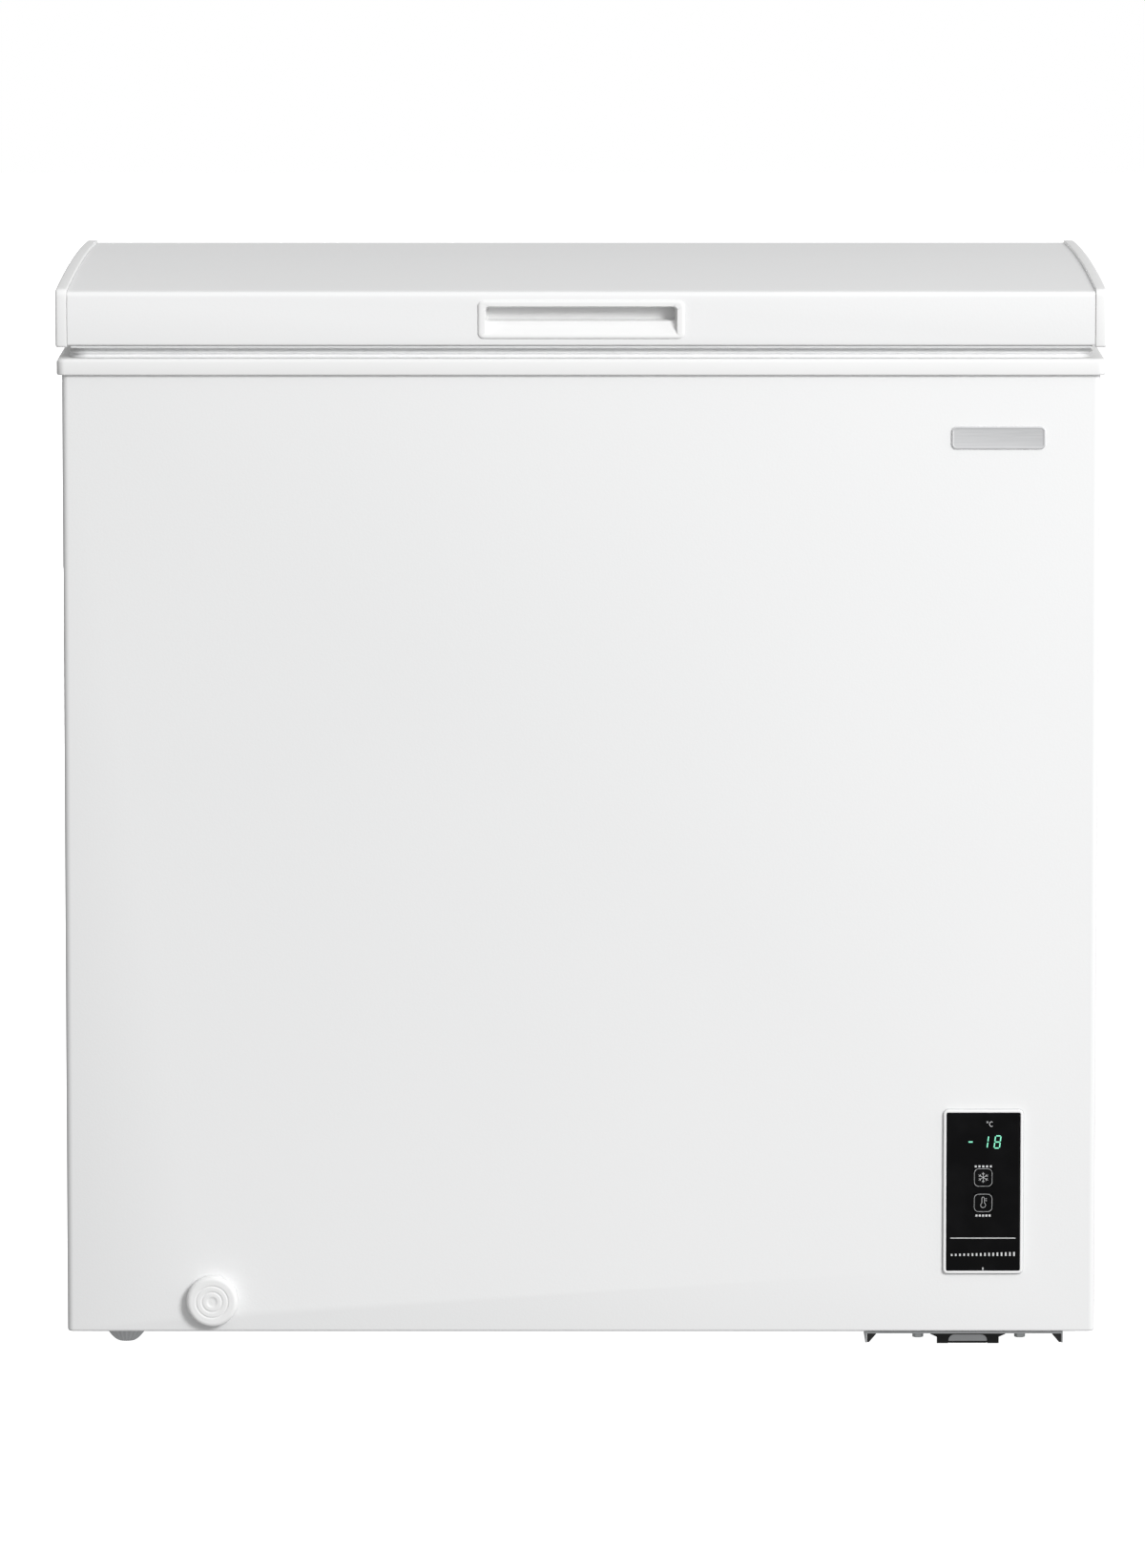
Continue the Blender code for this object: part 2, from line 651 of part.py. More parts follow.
def evaporator_channels():
    """Square channels in the foam round the liner, one for each loop, and the legs at the back."""
    half = EVAPORATOR_TUBE + GAP
    near_x = ROOM_W + LINER_SHEET
    near_y = ROOM_D + LINER_SHEET
    deep_x = near_x + GAP + 2 * half
    deep_y = near_y + GAP + 2 * half
    blocks = []
    heights = loop_heights()
    for z in heights:
        blocks.append(((-deep_x, -deep_y, z - half), (deep_x, -near_y + GAP, z + half)))
        blocks.append(((-deep_x, near_y - GAP, z - half), (deep_x, deep_y, z + half)))
        blocks.append(((-deep_x, -near_y, z - half), (-near_x + GAP, near_y, z + half)))
        blocks.append(((near_x - GAP, -near_y, z - half), (deep_x, near_y, z + half)))
    left = EVAPORATOR_INLET - EVAPORATOR_LAP - half
    blocks.append(((left, near_y - GAP, heights[0]), (EVAPORATOR_INLET + half, deep_y, heights[-1])))
    blocks.append(((EVAPORATOR_INLET - half, near_y - GAP, BAY_TOP),
                   (EVAPORATOR_INLET + half, deep_y, heights[0])))
    blocks.append(((EVAPORATOR_OUTLET - half, near_y - GAP, BAY_TOP),
                   (EVAPORATOR_OUTLET + half, deep_y + EVAPORATOR_LAYER, heights[-1])))
    blocks.append(((EVAPORATOR_OUTLET - half, near_y - GAP, heights[-1] - half),
                   (EVAPORATOR_INLET, deep_y + EVAPORATOR_LAYER, heights[-1] + half)))
    return union_of_boxes("evaporator_channels", blocks)


def union_of_boxes(name, corners):
    """Blocks that run into each other, joined into one clean cutter."""
    first, *rest = [boxes(f"{name}_{i}", [pair]) for i, pair in enumerate(corners)]
    fuse(first, *rest)
    return first


def drain_channels():
    """The foam's way for the drain pipe: down from the storage floor and forward."""
    half = PIPE_RADIUS + GAP
    outline = [(-HALF_D - OVERSHOOT, DRAIN_Z - half), (DRAIN_Y + half, DRAIN_Z - half),
               (DRAIN_Y + half, ROOM_FLOOR), (DRAIN_Y - half, ROOM_FLOOR), (DRAIN_Y - half, DRAIN_Z + half),
               (-HALF_D - OVERSHOOT, DRAIN_Z + half)]
    return flat("drain_channels", outline, DRAIN_X - half, DRAIN_X + half, "YZ")


def storage_blocks(name, grow, top):
    """The storage space grown outwards, as two blocks: the room above the step and the well beside it."""
    side, end, radius = ROOM_W + grow, ROOM_D + grow, LINER_RADIUS + grow
    room = box(f"{name}_room", (-side, -end, STEP_Z - grow), (side, end, top), radius=radius)
    well = box(f"{name}_well", (-side, -end, ROOM_FLOOR - grow), (STEP_X + grow, end, STEP_Z + STEP_WALL),
               radius=radius)
    return room, well


def make_inner_liner():
    """A formed tub, open at the top, with a step over the machine bay and a hole for the drain."""
    liner, well = storage_blocks("inner_liner", LINER_SHEET, CABINET_TOP - GAP)
    liner.name = "inner_liner"
    liner.data.materials.append(LINER_PLASTIC)
    fuse(liner, well)
    cut(liner, *storage_blocks("liner", 0, CABINET_TOP + OVERSHOOT),
        rods("liner_drain", [(DRAIN_X, DRAIN_Y, ROOM_FLOOR)], PIPE_BORE, DRILL))
    return liner


def make_top_collar():
    """The plastic frame round the opening, with a rebate inside that carries the basket."""
    half_w = HALF_W + COLLAR_OVERHANG
    half_d = HALF_D + COLLAR_OVERHANG
    collar = box("top_collar", (-half_w, -half_d, CABINET_TOP), (half_w, half_d, COLLAR_TOP),
                 WHITE_PLASTIC, radius=COLLAR_RADIUS)
    opening = box("collar_opening", (-ROOM_W, -ROOM_D, CABINET_TOP - OVERSHOOT),
                  (ROOM_W, ROOM_D, COLLAR_TOP + OVERSHOOT), radius=LINER_RADIUS)
    rebate = box("collar_rebate", (-ROOM_W - LEDGE_WIDTH, -ROOM_D - LEDGE_WIDTH, LEDGE_Z),
                 (ROOM_W + LEDGE_WIDTH, ROOM_D + LEDGE_WIDTH, COLLAR_TOP + OVERSHOOT),
                 radius=LINER_RADIUS + LEDGE_WIDTH)
    cut(collar, opening, rebate)
    return collar


# ---------------------------------------------------------------- cooling circuit

def condenser_route():
    """From the compressor into the bay's front, back and forth round three walls, and down to the drier."""
    inset = SHEET + GAP + GAP + CONDENSER_TUBE
    left, front, back = -HALF_W + inset, -HALF_D + inset, HALF_D - inset
    turn = BAY_X - CONDENSER_TURN
    leg = BAY_X - CONDENSER_RETURN
    start = (compressor_side(0.0) - GAP, COMPRESSOR_Y, CONDENSER_FIRST)
    corners = [start, (LEAD_X, COMPRESSOR_Y, CONDENSER_FIRST), (LEAD_X, LEAD_Y, CONDENSER_FIRST),
               (leg, LEAD_Y, CONDENSER_FIRST), (leg - TUBE_BEND, front, CONDENSER_FIRST)]
    for run in range(CONDENSER_RUNS):
        z = CONDENSER_FIRST + run * CONDENSER_PITCH
        last = run == CONDENSER_RUNS - 1
        walls = [(turn, front), (left, front), (left, back), (turn, back)]
        if run == 0:
            walls = walls[1:]
        if run % 2:
            walls.reverse()
        if last:
            walls[-1] = (leg, front)
        corners += [(x, y, z) for x, y in walls]
    corners += [(leg, front, CONDENSER_BACK_Z), (leg, LEAD_Y, CONDENSER_BACK_Z),
                (LEAD_X, LEAD_Y, CONDENSER_BACK_Z), (LEAD_X, DRIER_START - GAP, CONDENSER_BACK_Z)]
    return bent(corners, COIL_BEND * CONDENSER_TUBE, steps=1)


def compressor_side(offset):
    """X of the compressor's left flank at a Y offset from its middle."""
    share = offset / (COMPRESSOR_RADIUS * COMPRESSOR_STRETCH)
    return COMPRESSOR_X - COMPRESSOR_RADIUS * math.sqrt(1 - share * share)


def loop_heights():
    return [STEP_Z + EVAPORATOR_ABOVE + i * EVAPORATOR_PITCH for i in range(EVAPORATOR_LOOPS)]


def evaporator_y():
    return ROOM_D + LINER_SHEET + GAP + GAP + EVAPORATOR_TUBE


def inlet_place():
    return (EVAPORATOR_INLET, evaporator_y(), BAY_TOP)


def outlet_place():
    return (EVAPORATOR_OUTLET, evaporator_y() + EVAPORATOR_LAYER, BAY_TOP)


def evaporator_route():
    """Up from the bay, round the liner loop by loop, and down behind them to the compressor."""
    reach_x = ROOM_W + LINER_SHEET + GAP + GAP + EVAPORATOR_TUBE
    reach_y = evaporator_y()
    start = BAY_TOP + SHEET + GAP
    corners = [(EVAPORATOR_INLET, reach_y, start)]
    for z in loop_heights():
        corners += [(EVAPORATOR_INLET, reach_y, z), (reach_x, reach_y, z), (reach_x, -reach_y, z),
                    (-reach_x, -reach_y, z), (-reach_x, reach_y, z),
                    (EVAPORATOR_INLET - EVAPORATOR_LAP, reach_y, z)]
    x, y, _ = outlet_place()
    flank = 0.5 * COMPRESSOR_RADIUS
    end = (compressor_side(flank - EVAPORATOR_TUBE) - GAP, COMPRESSOR_Y + flank, SUCTION_Z)
    top = loop_heights()[-1]
    near = (EVAPORATOR_OUTLET + EVAPORATOR_INLET) / 2
    corners += [(near, y, top), (x, y, top), (x, y, SUCTION_Z), (end[0] - LEAD_RUN, y, SUCTION_Z),
                (end[0] - LEAD_RUN, end[1], SUCTION_Z), end]
    return bent(corners, COIL_BEND * EVAPORATOR_TUBE, steps=1)


def make_cooling_circuit():
    tube("condenser_coil", condenser_route(), CONDENSER_TUBE, COPPER_COATED)
    tube("evaporator_coil", evaporator_route(), EVAPORATOR_TUBE, ALUMINIUM)
    make_filter_drier()
    make_capillary_tube()


def make_filter_drier():
    """A copper can with necked ends, in line between the condenser and the capillary."""
    neck = 2 * CONDENSER_TUBE
    half = DRIER_LENGTH / 2
    profile = [(0, half), (CONDENSER_TUBE, half), (CONDENSER_TUBE, half - neck),
               (DRIER_RADIUS, half - 2 * neck), (DRIER_RADIUS, -half + 2 * neck),
               (CONDENSER_TUBE, -half + neck), (CONDENSER_TUBE, -half), (0, -half)]
    drier = turned("filter_drier", profile, (LEAD_X, DRIER_START + half, CONDENSER_BACK_Z), COPPER,
                   axis="Y", steps=12)
    round_shading(drier)


def make_capillary_tube():
    x, y, z = inlet_place()
    start = (LEAD_X, DRIER_START + DRIER_LENGTH + GAP, CONDENSER_BACK_Z)
    corners = [start, (LEAD_X, y, CONDENSER_BACK_Z), (x, y, CONDENSER_BACK_Z + TUBE_BEND),
               (x, y, z + SHEET)]
    tube("capillary_tube", bent(corners, TUBE_BEND), CAPILLARY_TUBE, COPPER)


# ---------------------------------------------------------------- machine bay

def tray_screw_places():
    return [(COMPRESSOR_X + side * SCREW_SPACING / 2, -HALF_D + SCREW_BACK, CABINET_BASE)
            for side in (-1, 1)]


def bolt_places():
    return [(COMPRESSOR_X + i * BOLT_SPACING_X / 2, COMPRESSOR_Y + j * BOLT_SPACING_Y / 2, TRAY_TOP)
            for j in (-1, 1) for i in (-1, 1)]


def tray_foot_faces():
    """Y of the near and far faces of the front and rear feet under the tray."""
    near = HALF_D - TRAY_FOOT_INSET
    return ((-near, -near + TRAY_FOOT_DEPTH), (near, near - TRAY_FOOT_DEPTH))


def make_compressor_tray():
    """A galvanised channel under the bay: side flanges turned down, and a tab over each foot."""
    tray = box("compressor_tray", (TRAY_LEFT, -HALF_D, TRAY_LOW), (TRAY_RIGHT, HALF_D, TRAY_TOP), GALVANISED)
    sides = [(TRAY_LEFT, TRAY_LEFT + TRAY_SHEET), (TRAY_RIGHT - TRAY_SHEET, TRAY_RIGHT)]
    flanges = [box(f"tray_flange_{i}", (a, -HALF_D, TRAY_TOP - TRAY_FLANGE), (b, HALF_D, TRAY_TOP))
               for i, (a, b) in enumerate(sides)]
    tabs = []
    for i, (near, _) in enumerate(tray_foot_faces()):
        outer = near + math.copysign(GAP + TRAY_SHEET, near)
        inner = near + math.copysign(GAP, near)
        low, high = min(inner, outer), max(inner, outer)
        foot = TRAY_TOP - TRAY_SHEET - TAB_DROP
        tabs.append(box(f"tray_tab_{i}", (COMPRESSOR_X - TAB_WIDTH / 2, low, foot),
                        (COMPRESSOR_X + TAB_WIDTH / 2, high, TRAY_TOP)))
    fuse(tray, *flanges, *tabs)
    cut(tray, rods("tray_bolt_holes", bolt_places(), BOLT_RADIUS + GAP, DRILL, sides=12),
        rods("tray_screw_holes", tray_screw_places(), SCREW_RADIUS + GAP, DRILL, sides=12))
    return tray


def make_tray_feet():
    """Black feet under the tray, flared where they meet it."""
    for label, (near, far) in zip(("front", "rear"), tray_foot_faces()):
        low, high = min(near, far), max(near, far)
        half = TRAY_FOOT_WIDTH / 2
        top = TRAY_LOW - GAP
        flare = half + TRAY_FOOT_FLARE
        slope = 2 * TRAY_FOOT_FLANGE
        outline = [(-half + slope, 0), (half - slope, 0), (half, slope), (half, top - slope),
                   (flare, top - TRAY_FOOT_FLANGE / 2), (flare, top), (-flare, top),
                   (-flare, top - TRAY_FOOT_FLANGE / 2), (-half, top - slope), (-half, slope)]
        outline = [(COMPRESSOR_X + x, z) for x, z in outline]
        foot = flat(f"tray_foot_{label}", outline, low, high, "XZ")
        foot.data.materials.append(BLACK_RUBBER)


def make_tray_screws():
    for label, (x, y, _) in zip(("left", "right"), tray_screw_places()):
        top = TRAY_LOW - GAP
        profile = [(0, SCREW_LENGTH), (SCREW_RADIUS, SCREW_LENGTH), (SCREW_RADIUS, 0), (SCREW_HEAD, 0),
                   (SCREW_HEAD, -SCREW_HEAD_HEIGHT), (0, -SCREW_HEAD_HEIGHT)]
        turned(f"tray_screw_{label}", profile, (x, y, top), ZINC, steps=6)


def make_compressor():
    """A welded oval can on four rubber mounts, with its motor and pump inside."""
    wall = COMPRESSOR_WALL
    seam, radius, flat_r = COMPRESSOR_SEAM, COMPRESSOR_RADIUS, COMPRESSOR_FLOOR
    shoulder = (radius - flat_r) * SHOULDER_RISE
    turn_in, turn_up = (shoulder * share for share in SHOULDER_TURN)
    lower = [(0, wall), (flat_r, wall), (radius - turn_in - wall, turn_up + wall),
             (radius - wall, shoulder + wall), (radius - wall, seam), (radius, seam), (radius, shoulder),
             (radius - turn_in, turn_up), (flat_r, 0), (0, 0)]
    can = turned("compressor_shell_lower", lower, (COMPRESSOR_X, COMPRESSOR_Y, STRAP_Z), BLACK_PAINT,
                 steps=24)
    can.scale.y = COMPRESSOR_STRETCH
    apply_scale(can)
    half_x = BOLT_SPACING_X / 2 + GROMMET_RADIUS
    half_y = BOLT_SPACING_Y / 2 + GROMMET_RADIUS
    strap = box("compressor_strap", (COMPRESSOR_X - half_x, COMPRESSOR_Y - half_y, STRAP_Z),
                (COMPRESSOR_X + half_x, COMPRESSOR_Y + half_y, STRAP_Z + BASE_STRAP), radius=GROMMET_RADIUS)
    fuse(can, strap)
    cut(can, rods("strap_holes", bolt_places(), BOLT_RADIUS + GAP, 3 * DRILL, sides=12))
    top = COMPRESSOR_HEIGHT - seam
    drop = shoulder + CROWN_EXTRA
    bend_r, bend_z = radius - shoulder * CROWN_TURN[0], top - drop * CROWN_TURN[1]
    outer_z, inner_z = (top - drop * share for share in CROWN_FALL)
    lap = SEAM_LAP
    skirt = radius + GAP + wall
    upper = [(0, top), (flat_r, top), (bend_r, bend_z), (skirt, outer_z), (skirt, -lap),
             (radius + GAP, -lap), (radius + GAP, inner_z), (bend_r - wall, bend_z - wall),
             (flat_r, top - wall), (0, top - wall)]
    cap = turned("compressor_shell_upper", upper, (COMPRESSOR_X, COMPRESSOR_Y, SEAM_Z), BLACK_PAINT,
                 steps=24)
    cap.scale.y = COMPRESSOR_STRETCH
    apply_scale(cap)
    motor_low = STRAP_Z + wall + GAP
    motor_high = SEAM_Z + inner_z
    rod("compressor_motor", (COMPRESSOR_X, COMPRESSOR_Y, (motor_low + motor_high) / 2), flat_r,
        motor_high - motor_low, "Z", 16, CAST_IRON)
    make_relay_cover()
    make_compressor_mounts()


def apply_scale(piece):
    """Turns the profile first, then stretches the mesh itself, so that the object's scale is one."""
    bpy.context.view_layer.update()
    seen = piece.evaluated_get(bpy.context.evaluated_depsgraph_get())
    mesh = bpy.data.meshes.new_from_object(seen)
    mesh.transform(Matrix.Diagonal((*piece.scale, 1.0)))
    piece.modifiers.clear()
    piece.data = mesh
    piece.scale = (1, 1, 1)
    round_shading(piece)


def make_relay_cover():
    """The plastic box over the compressor's terminals, on its front end."""
    width, depth, height = RELAY_SIZE
    back = COMPRESSOR_Y - COMPRESSOR_RADIUS * COMPRESSOR_STRETCH - GAP
    low_z = STRAP_Z + BASE_STRAP + GAP
    box("relay_cover", (COMPRESSOR_X - width / 2, back - depth, low_z),
        (COMPRESSOR_X + width / 2, back, low_z + height), BLACK_PLASTIC, radius=RELAY_RADIUS)


def make_compressor_mounts():
    """At each corner a rubber grommet, and a bolt down through strap, grommet and tray."""
    bore = BOLT_RADIUS + GAP
    high = GROMMET_HEIGHT
    ring = [(bore, high), (GROMMET_RADIUS, high), (GROMMET_RADIUS, high * 0.7), (GROMMET_WAIST, high * 0.5),
            (GROMMET_RADIUS, high * 0.3), (GROMMET_RADIUS, 0), (bore, 0)]
    shank = STRAP_Z + BASE_STRAP + GAP
    tail = TRAY_LOW - BOLT_TAIL - shank
    bolt = [(0, BOLT_HEAD_HEIGHT), (BOLT_HEAD, BOLT_HEAD_HEIGHT), (BOLT_HEAD, 0), (BOLT_RADIUS, 0),
            (BOLT_RADIUS, tail), (0, tail)]
    for i, (x, y, z) in enumerate(bolt_places(), start=1):
        turned(f"mount_grommet_{i}", ring, (x, y, z + GAP), BLACK_RUBBER, steps=12, closed=True)
        turned(f"mount_bolt_{i}", bolt, (x, y, shank), ZINC, steps=6)


def make_rear_grille():
    """A louvred cover over the bay's rear opening, with a hole for the cable gland."""
    low, high = bay_window()
    left, bottom = low[0] - GRILLE_LAP, low[2] - GRILLE_LAP
    right, top = high[0] + GRILLE_LAP, high[2] + GRILLE_LAP
    grille = box("rear_grille", (left, HALF_D + GAP, bottom), (right, HALF_D + GAP + GRILLE_SHEET, top),
                 GALVANISED, radius=GRILLE_LAP, axis=1)
    gland_x, gland_z = gland_place()
    first = gland_z + GLAND_FLANGE + GRILLE_SLOT_HEIGHT
    pitch = (top - GRILLE_MARGIN - first) / (GRILLE_SLOTS - 1)
    slots = [((left + GRILLE_MARGIN, HALF_D, first + i * pitch - GRILLE_SLOT_HEIGHT / 2),
              (right - GRILLE_MARGIN, HALF_D + OVERSHOOT, first + i * pitch + GRILLE_SLOT_HEIGHT / 2))
             for i in range(GRILLE_SLOTS)]
    cut(grille, boxes("grille_slots", slots),
        rods("gland_hole", [(gland_x, HALF_D, gland_z)], GLAND_RADIUS - GRILLE_SHEET + GAP, DRILL, "Y",
             sides=12))
    make_cable_gland(gland_x, gland_z)


def gland_place():
    low, high = bay_window()
    return low[0] + GLAND_INSET, low[2] + GLAND_INSET


def make_cable_gland(x, z):
    """A grommet with a lip each side of the grille, where a supply lead would enter."""
    neck = GLAND_RADIUS - GRILLE_SHEET
    outside = GRILLE_SHEET + 2 * GAP
    lip = 2 * GRILLE_SHEET
    profile = [(GLAND_BORE, outside + 2 * lip), (neck, outside + 2 * lip),
               (GLAND_FLANGE - lip / 2, outside + lip / 2),
               (GLAND_FLANGE - lip / 2, outside), (neck, outside), (neck, 0), (GLAND_RADIUS, 0),
               (neck, -lip), (GLAND_BORE, -lip)]
    gland = turned("cable_gland", profile, (x, HALF_D, z), BLACK_RUBBER, axis="Y", steps=12, closed=True)
    gland.rotation_euler = (-math.pi / 2, 0, 0)


# ---------------------------------------------------------------- drain

def make_drain():
    """Pipe from the storage floor to the front, a spout that pulls out of it, and its turning knob."""
    end = -HALF_D + GAP
    top = ROOM_FLOOR - LINER_SHEET - GAP
    corner = (DRAIN_X, DRAIN_Y, DRAIN_Z)
    route = [(DRAIN_X, DRAIN_Y, top), corner, (DRAIN_X, end, DRAIN_Z)]
    bore = [(DRAIN_X, DRAIN_Y, top + OVERSHOOT), corner, (DRAIN_X, end - OVERSHOOT, DRAIN_Z)]
    outer = tube("drain_pipe", bent(route, PIPE_BEND), PIPE_RADIUS, resolution=4)
    inner = tube("pipe_bore", bent(bore, PIPE_BEND), PIPE_BORE, resolution=4)
    pipe = as_mesh(outer)
    pipe.data.materials.append(GREY_PLASTIC)
    cut(pipe, as_mesh(inner))
    make_drain_spout()
    make_drain_knob()
    make_drain_plug()


def make_drain_spout():
    """A tube with a blind inner end, so that it shuts the pipe until it is pulled out."""
    front = -HALF_D - GAP - KNOB_SOCKET + GAP
    axis = new_axis("drain_slide_axis", (DRAIN_X, -HALF_D, DRAIN_Z))
    profile = [(0, -SPOUT_LENGTH + SPOUT_BORE), (SPOUT_BORE, -SPOUT_LENGTH + SPOUT_BORE), (SPOUT_BORE, 0),
               (SPOUT_RADIUS, 0), (SPOUT_RADIUS, -SPOUT_LENGTH), (0, -SPOUT_LENGTH)]
    spout = turned("drain_spout", profile, (DRAIN_X, front, DRAIN_Z), GREY_PLASTIC, parent=axis,
                   axis="Y", steps=16)
    round_shading(spout)


def make_drain_knob():
    """A shallow round knob with a ring groove, a raised boss and a dimple; its back is a socket."""
    axis = new_axis("drain_turn_axis", (DRAIN_X, -HALF_D, DRAIN_Z))
    back = -GAP
    face = KNOB_LENGTH
    groove = KNOB_RELIEF
    socket = SPOUT_RADIUS + GAP
    profile = [(0, face - 2 * groove), (KNOB_DIMPLE, face - 2 * groove), (KNOB_DIMPLE, face),
               (KNOB_BOSS, face), (KNOB_BOSS + groove, face - groove), (KNOB_GROOVE - groove, face - groove),
               (KNOB_GROOVE, face - 2 * groove), (KNOB_GROOVE + groove, face - groove),
               (KNOB_RADIUS - KNOB_RIM, face - groove / 2), (KNOB_RADIUS - KNOB_RIM / 4, face - KNOB_RIM),
               (KNOB_RADIUS, face - 2 * KNOB_RIM), (KNOB_RADIUS, 0), (socket, 0), (socket, KNOB_SOCKET),
               (0, KNOB_SOCKET)]
    knob = turned("drain_knob", profile, (DRAIN_X, -HALF_D + back, DRAIN_Z), WHITE_PLASTIC, parent=axis,
                  axis="Y", steps=24)
    round_shading(knob)


def make_drain_plug():
    """A stopper in the storage floor, with a grip to pull it by."""
    low = ROOM_FLOOR + GAP
    axis = new_axis("drain_plug_axis", (DRAIN_X, DRAIN_Y, low))
    stem = PIPE_BORE - GAP
    grip = SPOUT_BORE / 2
    profile = [(0, STOPPER_HEAD + STOPPER_GRIP), (2 * grip, STOPPER_HEAD + STOPPER_GRIP),
               (2 * grip, STOPPER_HEAD + STOPPER_GRIP - grip), (grip, STOPPER_HEAD + grip),
               (grip, STOPPER_HEAD), (STOPPER_RADIUS, STOPPER_HEAD / 2), (STOPPER_RADIUS, 0), (stem, 0),
               (stem, -STOPPER_STEM), (0, -STOPPER_STEM)]
    plug = turned("drain_plug", profile, (DRAIN_X, DRAIN_Y, low), WHITE_PLASTIC, parent=axis, steps=16)
    round_shading(plug)


# ---------------------------------------------------------------- feet

def foot_places():
    return [(-HALF_W + FOOT_INSET, side * (HALF_D - FOOT_INSET), 0) for side in (-1, 1)]


def make_screw_feet():
    """Domed feet on screw studs at the two left corners."""
    top = CABINET_BASE - GAP
    profile = [(0, top + FOOT_STUD_LENGTH), (FOOT_STUD, top + FOOT_STUD_LENGTH), (FOOT_STUD, top),
               (FOOT_RADIUS, top)]
    for turn in (i * math.pi / 8 for i in range(5)):
        profile.append((FOOT_TIP + (FOOT_RADIUS - FOOT_TIP) * math.cos(turn),
                        (top - FOOT_LIP) * (1 - math.sin(turn))))
    profile.append((0, 0))
    for label, place in zip(("front", "rear"), foot_places()):
        axis = new_axis(f"left_foot_{label}_axis", place)
        foot = turned(f"left_foot_{label}", profile, place, GREY_RUBBER, parent=axis, steps=16)
        round_shading(foot)


# ---------------------------------------------------------------- controls

def panel_box(name, inset, front, back, material=None, radius=0.0):
    """A block on the panel's middle, inset from its outline, between two depths from the cabinet's front."""
    half_w = PANEL_WIDTH / 2 - inset
    half_h = PANEL_HEIGHT / 2 - inset
    return box(name, (PANEL_X - half_w, -HALF_D + front, PANEL_Z - half_h),
               (PANEL_X + half_w, -HALF_D + back, PANEL_Z + half_h), material, radius=radius, axis=1)


def make_control_panel():
    window_front = -PANEL_PROUD + WINDOW_RECESS
    window_back = window_front + WINDOW_SHEET
    ledge = -GAP - PANEL_LEDGE
    bezel = panel_box("control_bezel", 0, -PANEL_PROUD, -GAP, WHITE_PLASTIC, PANEL_RADIUS)
    fuse(bezel, panel_box("bezel_sleeve", SLEEVE_INSET, -GAP - PANEL_LEDGE / 2, SLEEVE_DEPTH))
    cut(bezel, panel_box("bezel_recess", PANEL_RIM, -PANEL_PROUD - OVERSHOOT, ledge),
        panel_box("bezel_bore", SLEEVE_INSET + SLEEVE_WALL, -OVERSHOOT, SLEEVE_DEPTH + OVERSHOOT))
    window = panel_box("control_window", PANEL_RIM + GAP, window_front, window_back, GLOSS_BLACK)
    cut(window, *[key_block(f"key_hole_{i}", height, KEY_SIZE + 2 * GAP, -OVERSHOOT, 0)
                  for i, height in enumerate(KEY_ABOVE)])
    switch_front = window_back + GAP + KEY_FLANGE + KEY_STEM + KEY_TRAVEL + SWITCH_SLACK
    board = panel_box("control_board", SLEEVE_INSET + SLEEVE_WALL + GAP, BOARD_DEPTH,
                      BOARD_DEPTH + BOARD_SHEET, GREEN_BOARD)
    display = box("display_block", (PANEL_X - DISPLAY_WIDTH / 2, -HALF_D + window_back + GAP,
                                    PANEL_Z + DISPLAY_ABOVE - DISPLAY_HEIGHT / 2),
                  (PANEL_X + DISPLAY_WIDTH / 2, -HALF_D + BOARD_DEPTH + BOARD_SHEET / 2,
                   PANEL_Z + DISPLAY_ABOVE + DISPLAY_HEIGHT / 2))
    switches = [key_block(f"switch_{i}", height, SWITCH_SIZE, switch_front, BOARD_DEPTH + BOARD_SHEET / 2)
                for i, height in enumerate(KEY_ABOVE)]
    fuse(board, display, *switches)
    for label, height in zip(("super_button", "temp_button"), KEY_ABOVE):
        make_key(label, height, window_front, window_back)
    box_inset = SLEEVE_INSET - GAP
    cover = panel_box("control_box", box_inset - BOX_WALL, SHEET + GAP, SLEEVE_DEPTH + BOX_SLACK + BOX_WALL,
                      GREY_PLASTIC)
    cut(cover, panel_box("control_box_room", box_inset, -OVERSHOOT, SLEEVE_DEPTH + BOX_SLACK))


def key_block(name, above, size, front, back, material=None, parent=None, radius=0.0):
    half = size / 2
    z = PANEL_Z + above
    return box(name, (PANEL_X - half, -HALF_D + front, z - half), (PANEL_X + half, -HALF_D + back, z + half),
               material, parent, radius=radius, axis=1)


def make_key(name, above, window_front, window_back):
    """A key cap in the window, with a flange behind it and a stem towards its switch."""
    axis = new_axis(f"{name}_axis", (PANEL_X, -HALF_D, PANEL_Z + above))
    flange = window_back + GAP
    key = key_block(name, above, KEY_SIZE, window_front - WINDOW_RECESS, flange + KEY_FLANGE / 2,
                    GLOSS_BLACK, axis)
    fuse(key, key_block(f"{name}_flange", above, KEY_SIZE + 4 * KEY_FLANGE, flange, flange + KEY_FLANGE),
         key_block(f"{name}_stem", above, KEY_STEM, flange, flange + KEY_FLANGE + KEY_STEM))


def make_badge():
    x = HALF_W - PLATE_FROM_SIDE
    box("badge", (x - PLATE_WIDTH / 2, -HALF_D - GAP - PLATE_SHEET, PLATE_Z - PLATE_HEIGHT / 2),
        (x + PLATE_WIDTH / 2, -HALF_D - GAP, PLATE_Z + PLATE_HEIGHT / 2), CHROME, radius=PLATE_RADIUS, axis=1)


# ---------------------------------------------------------------- lid

def lid_outline(inset, rise=0.0):
    """The lid's cross-section in Y and Z, from the front hem over the domed top to the rear hem."""
    half = LID_DEPTH / 2 - inset
    radius = LID_EDGE_RADIUS
    edge = LID_EDGE_Z - inset + rise
    crown = LID_DOME
    front = list(arc((-half + radius, edge - radius), radius, math.pi, math.pi / 2, 3))
    dome = []
    span = half - radius
    for i in range(1, 12):
        y = -span + 2 * span * i / 12
        dome.append((y, edge + crown * (1 - (y / span) ** 2)))
    rear = [(-y, z) for y, z in reversed(front)]
    return front + dome + rear


